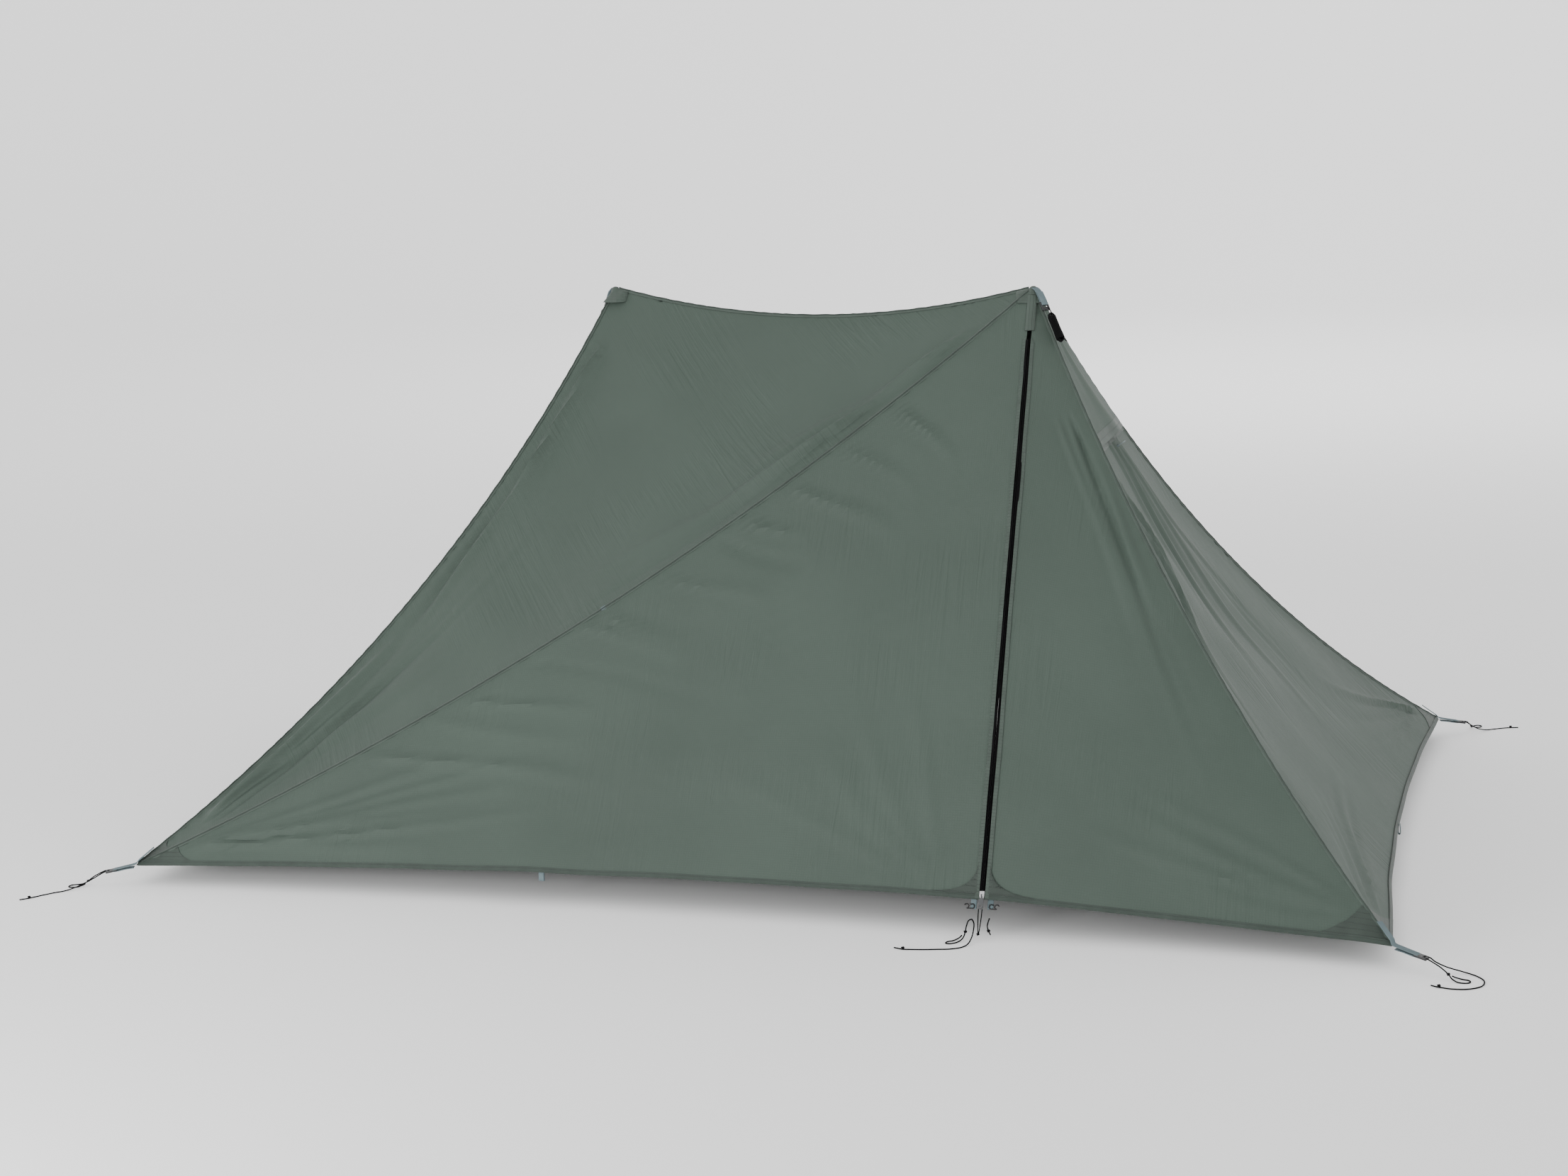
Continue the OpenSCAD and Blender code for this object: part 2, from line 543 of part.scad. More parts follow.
wall_out = facing(end_wall);
strut_foot = on_panel(end_wall, mix(vent_b, vent_c, 0.5) + [0.008, 0.008, -0.016]) + wall_out * 2.4;
strut_l = hood_rise - 4;  // the strut ends under the hood's edge
strut_t = 1.8;
strut_pin_r = 1.2;
strut_ear = 2;          // thickness of the ears that hold the strut's pin
module at_strut() translate(strut_foot) rotate([0, acos(wall_out[2]), 0]) children();
module strut_base() color(web_grey) at_strut() for (s = [-1, 1])
    translate([-2.4, s * (strut_w / 2 + 0.3 + strut_ear / 2) - strut_ear / 2, -4]) difference() {
        cube([4.8, strut_ear, 6.4]);
        translate([2.4, -1, 4]) rotate([-90, 0, 0])
            cylinder(r = strut_pin_r + pin_clear, h = strut_ear + 2);
    }
module vent_strut() color(web_grey) at_strut() {
        rotate([90, 0, 0]) cylinder(r = strut_pin_r, h = strut_w + 2 * strut_ear, center = true);
        translate([-strut_t / 2, -strut_w / 2, 0.4]) cube([strut_t, strut_w, strut_l - strut_w / 2]);
        translate([-strut_t / 2, 0, strut_l - strut_w / 2]) rotate([0, 90, 0])
            cylinder(d = strut_w, h = strut_t);
    }

// ---- poles ----

foot_h = 26;                            // height of the rubber foot
lower_from = 6;                         // the lower tube stands this high inside the foot
lower_top = lower_from + lower_l;
clamp_h = 34;                           // height of the clamp
clamp_r = lower_r + 4.5;
clamp_clear = 0.4;                      // clearance of the upper tube in the clamp
lever_clear = 1;                        // gap between the shut lever and the clamp
lever_t = 2.6;                          // thickness of the lever
lever_pin = [0, -clamp_r - 3.2];        // the lever's upright pin, from the pole's axis
lever_pin_r = 1.5;
ferrule_h = 30;
module at_pole() translate([peak_x, -peak_y, 0]) children();
module pipe(r, wall, z, h) translate([0, 0, z]) difference() {
    cylinder(r = r, h = h);
    translate([0, 0, -1]) cylinder(r = r - wall, h = h + 2);
}
module pole_foot() color(line_black) at_pole() rotate_extrude() polygon([[0, 0], [foot_r, 0],
    [foot_r + 1, 3], [foot_r - 3, 9], [lower_r + 3, 14], [lower_r + 3, foot_h],
    [lower_r, foot_h], [lower_r, lower_from], [0, lower_from]]);
module pole_lower() color("silver") at_pole() pipe(lower_r, tube_wall, lower_from, lower_l);
// The clamp is split at the front, where the lever draws its two ears together
clamp_z = lower_top - clamp_h + 6;
ear_r = 5;                              // radius of the clamp's ears round the pin
ear_in = 4;                             // how far the ears stop short of the clamp's ends
lever_room = clamp_h - 22;              // height of the gap between the ears
lever_h = lever_room - 1;               // height of the lever's handle
module pole_clamp() color(zip_black) at_pole() {
    difference() {
        union() {
            translate([0, 0, clamp_z]) cylinder(r = clamp_r, h = clamp_h);
            translate([-ear_r, lever_pin[1], clamp_z + ear_in])
                cube([2 * ear_r, clamp_r, clamp_h - 2 * ear_in]);
            translate([lever_pin[0], lever_pin[1], clamp_z + ear_in])
                cylinder(r = ear_r, h = clamp_h - 2 * ear_in);
        }
        translate([0, 0, clamp_z - 1]) cylinder(r = lower_r, h = lower_top - clamp_z + 1);
        translate([0, 0, clamp_z]) cylinder(r = upper_r + clamp_clear, h = clamp_h + 1);
        translate([lever_pin[0], lever_pin[1], clamp_z])
            cylinder(r = lever_pin_r + pin_clear, h = clamp_h);
        translate([-8, lever_pin[1] - 6, clamp_z + (clamp_h - lever_room) / 2])
            cube([16, 12, lever_room]);
    }
}
// The lever wraps a quarter of the way round the clamp when it is shut
module clamp_lever() color("gray") at_pole() {
    translate([lever_pin[0], lever_pin[1], clamp_z + 3]) cylinder(r = lever_pin_r, h = clamp_h - 6);
    translate([0, 0, clamp_z + (clamp_h - lever_h) / 2]) linear_extrude(lever_h) {
        translate(lever_pin) circle(r = 4.6);
        difference() {
            intersection() {
                circle(r = clamp_r + lever_clear + lever_t);
                translate([0, -clamp_r - 8]) square([clamp_r + 8, clamp_r + 12]);
            }
            circle(r = clamp_r + lever_clear);
        }
        translate([clamp_r + lever_clear + lever_t / 2, 4]) circle(r = lever_t / 2 + 0.8);
    }
}
upper_from = lower_top - pole_overlap;
ferrule_z = tip_top - ferrule_h;
module pole_upper() color("silver") at_pole()
    pipe(upper_r, tube_wall, upper_from, ferrule_z - upper_from);
module pole_tip() color(line_black) at_pole() rotate_extrude() polygon([[0, ferrule_z],
    [tip_r, ferrule_z], [tip_r, tip_top - 3], [tip_r - 3, tip_top], [0, tip_top]]);

roof_panel();  // roof_front
rear() roof_panel();  // roof_rear
wall_panel();  // end_wall_right
rear() wall_panel();  // end_wall_left
union() {  // door_surrounds_front
    surround(wide_door, 0, 1);
    surround(narrow_door, 1, 0);
}
rear() {  // door_surrounds_rear
    surround(wide_door, 0, 1);
    surround(narrow_door, 1, 0);
}
ridge_seam();
both() front_corner_seams();  // corner_seams
both() end_hem();  // end_hems
both() front_patches();  // corner_patches
both() peak_cap();  // peak_caps
both() vent_mesh();  // vent_meshes
vent_hood();  // vent_hood_right
rear() vent_hood();  // vent_hood_left
union() {  // webbing_loops
    for (i = [0:3]) corner_web(i);
    both() {
        front_loops();
        strut_base();
    }
}
for (i = [0:3]) line_adjuster(i);  // line_adjusters
corner_line(0);  // corner_line_a
corner_line(1);  // corner_line_b
corner_line(2);  // corner_line_c
corner_line(3);  // corner_line_d
line_knots();
both() peak_webbing();  // peak_webbings
peak_hank();  // peak_hank_front
rear() peak_hank();  // peak_hank_rear
door_line();  // door_line_front
rear() door_line();  // door_line_rear
both() pole_foot();  // pole_feet
both() pole_lower();  // pole_lower_tubes
both() pole_clamp();  // pole_clamps
flap(wide_door, 0, 1);  // door_wide_front
flap(narrow_door, 1, 0);  // door_narrow_front
rear() flap(wide_door, 0, 1);  // door_wide_rear
rear() flap(narrow_door, 1, 0);  // door_narrow_rear
wide_flap_hem();  // hem_wide_front
flap_hem(narrow_door, 1, 0);  // hem_narrow_front
rear() wide_flap_hem();  // hem_wide_rear
rear() flap_hem(narrow_door, 1, 0);  // hem_narrow_rear
zip_half(1);  // zip_wide_front
zip_half(-1);  // zip_narrow_front
rear() zip_half(1);  // zip_wide_rear
rear() zip_half(-1);  // zip_narrow_rear
door_clip(1);  // clip_wide_front
door_clip(-1);  // clip_narrow_front
rear() door_clip(1);  // clip_wide_rear
rear() door_clip(-1);  // clip_narrow_rear
zip_slider();  // zip_slider_front
rear() zip_slider();  // zip_slider_rear
zip_pull();  // zip_pull_front
rear() zip_pull();  // zip_pull_rear
pull_cord();  // pull_cord_front
rear() pull_cord();  // pull_cord_rear
vent_strut();  // vent_strut_right
rear() vent_strut();  // vent_strut_left
pole_upper();  // pole_upper_front
rear() pole_upper();  // pole_upper_rear
pole_tip();  // pole_tip_front
rear() pole_tip();  // pole_tip_rear
clamp_lever();  // clamp_lever_front
rear() clamp_lever();  // clamp_lever_rear
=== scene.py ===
import math

import bmesh
import bpy
import numpy as np
from mathutils import Matrix


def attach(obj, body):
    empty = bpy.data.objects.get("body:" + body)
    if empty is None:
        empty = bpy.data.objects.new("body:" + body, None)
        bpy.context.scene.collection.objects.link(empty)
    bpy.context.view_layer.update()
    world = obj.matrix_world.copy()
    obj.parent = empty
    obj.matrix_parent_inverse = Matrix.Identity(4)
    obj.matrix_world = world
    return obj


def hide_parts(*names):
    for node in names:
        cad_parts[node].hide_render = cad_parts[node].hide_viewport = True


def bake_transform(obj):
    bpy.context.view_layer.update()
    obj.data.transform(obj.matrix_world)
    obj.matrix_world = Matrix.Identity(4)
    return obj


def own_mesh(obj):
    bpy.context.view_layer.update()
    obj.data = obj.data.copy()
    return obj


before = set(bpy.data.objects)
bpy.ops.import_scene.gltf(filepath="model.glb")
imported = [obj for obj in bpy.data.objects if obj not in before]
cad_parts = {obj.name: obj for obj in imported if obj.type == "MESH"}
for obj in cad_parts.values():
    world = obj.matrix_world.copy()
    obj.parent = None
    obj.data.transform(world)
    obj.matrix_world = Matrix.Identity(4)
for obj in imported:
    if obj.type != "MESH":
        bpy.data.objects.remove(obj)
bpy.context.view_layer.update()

MM = 0.001
DOWN = np.array([0, 0, -1.0])
ENDS = ((False, "front"), (True, "rear"))     # whether an end is turned round Z, and its name

# The fly's sizes, in metres, as in the part's source
BASE_L, BASE_W, PEAK_H, CORNER_H = 2.54, 1.70, 1.16, 0.04
PEAK_X, PEAK_Y = 0.50, 0.10
RIDGE_SAG, WIDE_SAG, NARROW_SAG, END_SAG = 0.062, 0.079, 0.071, 0.102
END_HEM, WIDE_HEM, NARROW_HEM = 0.036, 0.028, 0.005
FOOT_X, FOOT_IN, FOOT_UP = 0.52, 0.042, 0.026
ZIP_TOP, FOLD_HEM, HEM_W = 0.112, 0.150, 0.010
VENT_L, HOOD_L, HOOD_RISE = 0.387, 0.370, 0.024
LINE_D, WEB_W, WEB_T = 0.0025, 0.015, 0.0018


def unit(v):
    v = np.asarray(v, float)
    return v / np.linalg.norm(v)


def mix(a, b, t):
    return a + (b - a) * t


def smooth(x):
    x = np.clip(x, 0, 1)
    return x * x * (3 - 2 * x)


def half_turn(v):
    return np.asarray(v, float) * [-1, -1, 1]


def sides(turn):
    """The front half's places as they are, the rear half's turned round Z."""
    return half_turn if turn else lambda v: np.asarray(v, float)


# ---- camera ----

CAMERA_AT = (1.539, -5.320, 1.548)
CAMERA_TURN = (-0.3307, 0.1527, -0.0409)     # yaw, pitch and roll
SENSOR, LENS = 36, 58.34
SHIFT = (0.0545, -0.0543)


def make_camera():
    yaw, pitch, roll = CAMERA_TURN
    ahead = np.array([math.sin(yaw) * math.cos(pitch), math.cos(yaw) * math.cos(pitch), -math.sin(pitch)])
    right = np.array([math.cos(yaw), -math.sin(yaw), 0])
    up = np.cross(right, ahead)
    across = right * math.cos(roll) + up * math.sin(roll)
    above = up * math.cos(roll) - right * math.sin(roll)
    data = bpy.data.cameras.new("camera")
    data.sensor_width, data.lens = SENSOR, LENS
    data.shift_x, data.shift_y = SHIFT
    data.clip_end = 200
    camera = bpy.data.objects.new("camera", data)
    turn = Matrix((across, above, -ahead)).transposed().to_4x4()
    camera.matrix_world = Matrix.Translation(CAMERA_AT) @ turn
    bpy.context.collection.objects.link(camera)
    bpy.context.scene.camera = camera


make_camera()


# ---- meshes ----

def skin(points, uv, wrap=False, caps=False):
    """Faces over rows of points. A wrapped row closes on itself, and caps close the two ends."""
    rows, cols = points.shape[:2]
    at = np.arange(rows * cols).reshape(rows, cols)
    faces, corners = [], []
    for i in range(rows - 1):
        for j in range(cols if wrap else cols - 1):
            k = (j + 1) % cols
            faces.append((at[i, j], at[i, k], at[i + 1, k], at[i + 1, j]))
            corners += [uv[i, j], uv[i, j + 1], uv[i + 1, j + 1], uv[i + 1, j]]
    if caps:
        for row, i in ((at[0][::-1], 0), (at[-1], -1)):
            faces.append(tuple(row))
            corners += [uv[i, 0]] * cols
    return points.reshape(-1, 3), faces, corners


def grid_uv(u, v):
    """UV places for rows of points: u for each row, v for each point of a row."""
    return np.stack(np.meshgrid(u, v, indexing="ij"), axis=-1)


def piece(name, parts, paints, body=None, stands_for=(), crisp=40, merge=0.0):
    """One object from parts, each made by skin() with the number of its paint."""
    verts, faces, corners, paint_of = [], [], [], []
    for (points, part_faces, uv), paint in parts:
        start = sum(len(v) for v in verts)
        verts.append(points)
        faces += [tuple(int(i) + start for i in f) for f in part_faces]
        corners += list(uv)
        paint_of += [paint] * len(part_faces)
    mesh = bpy.data.meshes.new(name)
    mesh.from_pydata(np.concatenate(verts).tolist(), [], faces)
    layer = mesh.uv_layers.new(name="UVMap")
    layer.data.foreach_set("uv", np.array(corners, np.float32).ravel())
    for paint in paints:
        mesh.materials.append(paint)
    mesh.polygons.foreach_set("material_index", paint_of)
    made = bmesh.new()
    made.from_mesh(mesh)
    if merge:
        bmesh.ops.remove_doubles(made, verts=made.verts, dist=merge)
    bmesh.ops.recalc_face_normals(made, faces=made.faces)
    made.to_mesh(mesh)
    made.free()
    mesh.polygons.foreach_set("use_smooth", [True] * len(mesh.polygons))
    mesh.set_sharp_from_angle(angle=math.radians(crisp))
    thing = bpy.data.objects.new(name, mesh)
    bpy.context.collection.objects.link(thing)
    if stands_for:
        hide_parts(*stands_for)
    if body:
        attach(thing, body)
    return thing


def lengths(path):
    return np.concatenate([[0], np.cumsum(np.linalg.norm(np.diff(path, axis=0), axis=1))])


def sweep(path, profile, up=(0, 0, 1), twist_free=False):
    """A profile of (side, up) points carried along a path. up is one direction or one for each point."""
    path, profile = np.asarray(path, float), np.asarray(profile, float)
    n = len(path)
    ahead = np.array([unit(path[min(i + 1, n - 1)] - path[max(i - 1, 0)]) for i in range(n)])
    ups = np.broadcast_to(np.asarray(up, float), (n, 3)).copy()
    if twist_free:
        first = ups[0] - ahead[0] * (ups[0] @ ahead[0])
        ups[0] = unit(first if np.linalg.norm(first) > 1e-6 else np.cross(ahead[0], [1, 0, 0.3]))
        for i in range(1, n):
            ups[i] = unit(ups[i - 1] - ahead[i] * (ups[i - 1] @ ahead[i]))
    rows = []
    for i in range(n):
        across = unit(np.cross(ahead[i], ups[i]))
        over = np.cross(across, ahead[i])
        rows.append(path[i] + np.outer(profile[:, 0], across) + np.outer(profile[:, 1], over))
    round_it = lengths(np.vstack([profile, profile[:1]]))
    return skin(np.array(rows), grid_uv(lengths(path), round_it), wrap=True, caps=True)


def ring(r, sides=10):
    a = np.linspace(0, 2 * math.pi, sides, endpoint=False)
    return np.stack([r * np.cos(a), r * np.sin(a)], axis=1)


def flat_band(w, t):
    """Section of flat webbing with rounded edges."""
    x, y = w / 2, t / 2
    return np.array([[-x, -y * 0.4], [-x + y, -y], [-x / 2, -y], [0, -y], [x / 2, -y], [x - y, -y],
                     [x, -y * 0.4], [x, y * 0.4], [x - y, y], [x / 2, y], [0, y], [-x / 2, y],
                     [-x + y, y], [-x, y * 0.4]])


def spline(points, steps):
    """Smooth curve through chosen points."""
    p = np.asarray(points, float)
    n, out = len(p), []
    for i in range(n - 1):
        a, b, c, d = p[max(i - 1, 0)], p[i], p[i + 1], p[min(i + 2, n - 1)]
        for j in range(steps):
            t = j / steps
            out.append(0.5 * (2 * b + (c - a) * t + (2 * a - 5 * b + 4 * c - d) * t * t
                              + (3 * b - a - 3 * c + d) * t ** 3))
    return np.array(out + [p[-1]])


def barred_plate(xs, ys, holes, t, place):
    """Flat buckle with slots: cells of a grid, without the holes, with rounded edges."""
    made = bmesh.new()
    solid = [(i, j) for i in range(len(xs) - 1) for j in range(len(ys) - 1) if (i, j) not in holes]
    for z in (-t / 2, t / 2):
        for i, j in solid:
            q = [(xs[i], ys[j], z), (xs[i + 1], ys[j], z), (xs[i + 1], ys[j + 1], z), (xs[i], ys[j + 1], z)]
            made.faces.new([made.verts.new(v) for v in q])
    for i, j in solid:
        around = (((i, j - 1), (i, j), (i + 1, j)), ((i + 1, j), (i + 1, j), (i + 1, j + 1)),
                  ((i, j + 1), (i + 1, j + 1), (i, j + 1)), ((i - 1, j), (i, j + 1), (i, j)))
        for other, a, b in around:
            if other not in solid:
                q = [(xs[a[0]], ys[a[1]], -t / 2), (xs[b[0]], ys[b[1]], -t / 2),
                     (xs[b[0]], ys[b[1]], t / 2), (xs[a[0]], ys[a[1]], t / 2)]
                made.faces.new([made.verts.new(v) for v in q])
    bmesh.ops.remove_doubles(made, verts=made.verts, dist=1e-6)
    bmesh.ops.recalc_face_normals(made, faces=made.faces)
    sharp = [e for e in made.edges if len(e.link_faces) == 2 and e.calc_face_angle(0) > 1]
    bmesh.ops.bevel(made, geom=sharp, offset=t * 0.17, segments=2, affect="EDGES", profile=0.5)
    made.verts.ensure_lookup_table()
    made.verts.index_update()
    local = np.array([v.co for v in made.verts])
    faces = [tuple(v.index for v in f.verts) for f in made.faces]
    corners = [local[i][:2] for f in faces for i in f]
    made.free()
    return place(local), faces, corners


# ---- finishes ----

def feed(tree, made, feeds):
    for key, value in feeds.items():
        if isinstance(value, bpy.types.NodeSocket):
            tree.links.new(value, made.inputs[key])
        else:
            made.inputs[key].default_value = value


def node(tree, kind, feeds=None, **settings):
    made = tree.nodes.new(kind)
    for key, value in settings.items():
        setattr(made, key, value)
    feed(tree, made, feeds or {})
    return made


def maths(tree, operation, a, b=0.0):
    return node(tree, "ShaderNodeMath", {0: a, 1: b}, operation=operation).outputs[0]


def effect(name, takes, gives, fill):
    """A shared effect: a node group with named sockets."""
    group = bpy.data.node_groups.new(name, "ShaderNodeTree")
    for label, kind, value in takes:
        socket = group.interface.new_socket(label, in_out="INPUT", socket_type=kind)
        if value is not None:
            socket.default_value = value
    for label, kind in gives:
        group.interface.new_socket(label, in_out="OUTPUT", socket_type=kind)
    inside, outside = group.nodes.new("NodeGroupInput"), group.nodes.new("NodeGroupOutput")
    for label, socket in fill(group, inside.outputs).items():
        group.links.new(socket, outside.inputs[label])
    return group


FLOAT, VECTOR = "NodeSocketFloat", "NodeSocketVector"


def ripstop_fill(g, take):
    """Square grid of thicker threads over a fine plain weave."""
    uv = node(g, "ShaderNodeSeparateXYZ", {0: take["Vector"]}).outputs
    lines = []
    for k in (0, 1):
        step = maths(g, "DIVIDE", uv[k], take["Spacing"])
        near = maths(g, "PINGPONG", step, 0.5)
        lines.append(node(g, "ShaderNodeMapRange", {"Value": near, "From Min": 0.02, "From Max": 0.09,
                                                    "To Min": 1.0, "To Max": 0.0}).outputs[0])
    thick = maths(g, "MAXIMUM", lines[0], lines[1])
    fine = [maths(g, "SINE", maths(g, "MULTIPLY", uv[k], take["Threads"])) for k in (0, 1)]
    weave = maths(g, "MULTIPLY", fine[0], fine[1])
    return {"Mask": thick, "Height": maths(g, "ADD", maths(g, "MULTIPLY", weave, 0.25), thick)}


def mottle_fill(g, take):
    """Slow uneven patches, from 0 to 1."""
    noise = node(g, "ShaderNodeTexNoise", {"Vector": take["Vector"], "Scale": take["Scale"],
                                           "Detail": 4.0, "Roughness": 0.55})
    spread = node(g, "ShaderNodeMapRange", {"Value": noise.outputs["Fac"], "From Min": 0.3,
                                            "From Max": 0.7})
    return {"Value": spread.outputs[0]}


def crumple_fill(g, take):
    """Small soft creases of packed cloth."""
    warp = node(g, "ShaderNodeTexNoise", {"Vector": take["Vector"], "Scale": take["Scale"],
                                          "Detail": 2.0}).outputs["Color"]
    moved = node(g, "ShaderNodeMixRGB", {"Fac": 0.12, "Color1": take["Vector"], "Color2": warp}).outputs[0]
    cells = node(g, "ShaderNodeTexVoronoi", {"Vector": moved, "Scale": take["Scale"]},
                 feature="SMOOTH_F1").outputs["Distance"]
    soft = node(g, "ShaderNodeTexNoise", {"Vector": take["Vector"], "Scale": take["Scale"],
                                          "Detail": 3.0, "Roughness": 0.5}).outputs["Fac"]
    return {"Height": maths(g, "ADD", maths(g, "MULTIPLY", cells, 0.5), soft)}


def drawn_fill(g, take):
    """Fine creases drawn out along V, that come and go."""
    stretched = node(g, "ShaderNodeVectorMath", {0: take["Vector"], 1: (1.0, 0.075, 1.0)},
                     operation="MULTIPLY").outputs[0]
    fine = node(g, "ShaderNodeTexNoise", {"Vector": stretched, "Scale": take["Scale"], "Detail": 2.5,
                                          "Roughness": 0.55, "Distortion": 0.3}).outputs["Fac"]
    off_crest = maths(g, "ABSOLUTE", maths(g, "SUBTRACT", fine, 0.5))
    crest = maths(g, "SUBTRACT", 1.0, maths(g, "MULTIPLY", off_crest, 6.0))
    crest = maths(g, "MAXIMUM", crest, 0.0)
    where = node(g, "ShaderNodeTexNoise", {"Vector": take["Vector"], "Scale": 3.4,
                                           "Detail": 1.0}).outputs["Fac"]
    mask = node(g, "ShaderNodeMapRange", {"Value": where, "From Min": 0.46, "From Max": 0.64}).outputs[0]
    return {"Height": maths(g, "MULTIPLY", crest, mask)}


def stitch_fill(g, take):
    """Rows of stitches that run with U, across V at a spacing."""
    uv = node(g, "ShaderNodeSeparateXYZ", {0: take["Vector"]}).outputs
    row = maths(g, "PINGPONG", maths(g, "DIVIDE", uv[1], take["Row spacing"]), 0.5)
    across = node(g, "ShaderNodeMapRange", {"Value": row, "From Min": 0.04, "From Max": 0.10,
                                            "To Min": 1.0, "To Max": 0.0}).outputs[0]
    step = maths(g, "PINGPONG", maths(g, "DIVIDE", uv[0], take["Stitch"]), 0.5)
    dash = node(g, "ShaderNodeMapRange", {"Value": step, "From Min": 0.10, "From Max": 0.18}).outputs[0]
    return {"Mask": maths(g, "MULTIPLY", across, dash)}


def braid_fill(g, take):
    """Two sets of strands that cross, round a line or over a band."""
    uv = node(g, "ShaderNodeSeparateXYZ", {0: take["Vector"]}).outputs
    a = maths(g, "MULTIPLY", uv[0], take["Along"])
    b = maths(g, "MULTIPLY", uv[1], take["Across"])
    one = maths(g, "ABSOLUTE", maths(g, "SINE", maths(g, "ADD", a, b)))
    two = maths(g, "ABSOLUTE", maths(g, "SINE", maths(g, "SUBTRACT", a, b)))
    return {"Height": maths(g, "MAXIMUM", one, two)}


RIPSTOP = effect("ripstop threads", [("Vector", VECTOR, None), ("Spacing", FLOAT, 0.005),
                 ("Threads", FLOAT, 9000.0)], [("Mask", FLOAT), ("Height", FLOAT)], ripstop_fill)
MOTTLE = effect("uneven patches", [("Vector", VECTOR, None), ("Scale", FLOAT, 4.0)],
                [("Value", FLOAT)], mottle_fill)
CRUMPLE = effect("soft creases", [("Vector", VECTOR, None), ("Scale", FLOAT, 20.0)],
                 [("Height", FLOAT)], crumple_fill)
DRAWN = effect("drawn creases", [("Vector", VECTOR, None), ("Scale", FLOAT, 42.0)],
               [("Height", FLOAT)], drawn_fill)
STITCH = effect("stitch rows", [("Vector", VECTOR, None), ("Row spacing", FLOAT, 0.008),
                ("Stitch", FLOAT, 0.003)], [("Mask", FLOAT)], stitch_fill)
BRAID = effect("crossed strands", [("Vector", VECTOR, None), ("Along", FLOAT, 1500.0),
               ("Across", FLOAT, 1500.0)], [("Height", FLOAT)], braid_fill)


def use(tree, group, feeds):
    made = tree.nodes.new("ShaderNodeGroup")
    made.node_tree = group
    feed(tree, made, feeds)
    return made.outputs


def start_finish(name, **settings):
    paint = bpy.data.materials.new(name)
    paint.use_nodes = True
    tree = paint.node_tree
    shader = next(n for n in tree.nodes if n.type == "BSDF_PRINCIPLED")
    for key, value in settings.items():
        shader.inputs[key.replace("_", " ")].default_value = value
    place = tree.nodes.new("ShaderNodeTexCoord").outputs
    return paint, tree, shader, place["UV"], place["Object"]


def shade(colour, k):
    return (*[c * k for c in colour], 1.0)


def tinted(tree, shader, mask, dark, light):
    made = node(tree, "ShaderNodeMix", {"Factor": mask}, data_type="RGBA")
    made.inputs["A"].default_value, made.inputs["B"].default_value = dark, light
    tree.links.new(made.outputs["Result"], shader.inputs["Base Color"])
    return made.outputs["Result"]


def raised(tree, shader, height, distance, strength=1.0, under=None):
    feeds = {"Height": height, "Distance": distance, "Strength": strength}
    if under is not None:
        feeds["Normal"] = under
    made = node(tree, "ShaderNodeBump", feeds).outputs["Normal"]
    tree.links.new(made, shader.inputs["Normal"])
    return made


def fly_finish(name, colour, threads_at=0.005):
    paint, tree, shader, uv, place = start_finish(name, Roughness=0.62, Sheen_Weight=0.02,
                                                  Sheen_Roughness=0.5, Specular_IOR_Level=0.22)
    patches = use(tree, MOTTLE, {"Vector": place, "Scale": 2.6})["Value"]
    cloth = use(tree, RIPSTOP, {"Vector": uv, "Spacing": threads_at})
    soft = use(tree, CRUMPLE, {"Vector": place, "Scale": 14.0})["Height"]
    base = tinted(tree, shader, patches, shade(colour, 0.92), shade(colour, 1.06))
    lined = node(tree, "ShaderNodeMix", {"Factor": maths(tree, "MULTIPLY", cloth["Mask"], 0.28), "A": base},
                 data_type="RGBA")
    lined.inputs["B"].default_value = shade(colour, 0.72)
    tree.links.new(base, lined.inputs["A"])
    tree.links.new(lined.outputs["Result"], shader.inputs["Base Color"])
    rough = node(tree, "ShaderNodeMapRange", {"Value": patches, "To Min": 0.56, "To Max": 0.66})
    tree.links.new(rough.outputs[0], shader.inputs["Roughness"])
    under = raised(tree, shader, soft, 0.004, 0.5)
    creased = raised(tree, shader, use(tree, DRAWN, {"Vector": uv})["Height"], 0.0016, 0.75, under)
    raised(tree, shader, cloth["Height"], 0.0002, 0.6, creased)
    return paint


def sewn_finish(name, colour, row=0.008, stitch=0.003):
    """Doubled cloth with rows of stitches."""
    paint, tree, shader, uv, place = start_finish(name, Roughness=0.62, Sheen_Weight=0.1,
                                                  Specular_IOR_Level=0.3)
    patches = use(tree, MOTTLE, {"Vector": place, "Scale": 30.0})["Value"]
    cloth = use(tree, RIPSTOP, {"Vector": uv, "Spacing": 0.0012})
    rows = use(tree, STITCH, {"Vector": uv, "Row spacing": row, "Stitch": stitch})["Mask"]
    base = tinted(tree, shader, patches, shade(colour, 0.85), shade(colour, 1.12))
    marked = node(tree, "ShaderNodeMix", {"Factor": maths(tree, "MULTIPLY", rows, 0.5)}, data_type="RGBA")
    marked.inputs["B"].default_value = shade(colour, 0.45)
    tree.links.new(base, marked.inputs["A"])
    tree.links.new(marked.outputs["Result"], shader.inputs["Base Color"])
    under = raised(tree, shader, cloth["Height"], 0.00012, 0.6)
    raised(tree, shader, maths(tree, "SUBTRACT", 1.0, rows), 0.0005, 0.8, under)
    return paint


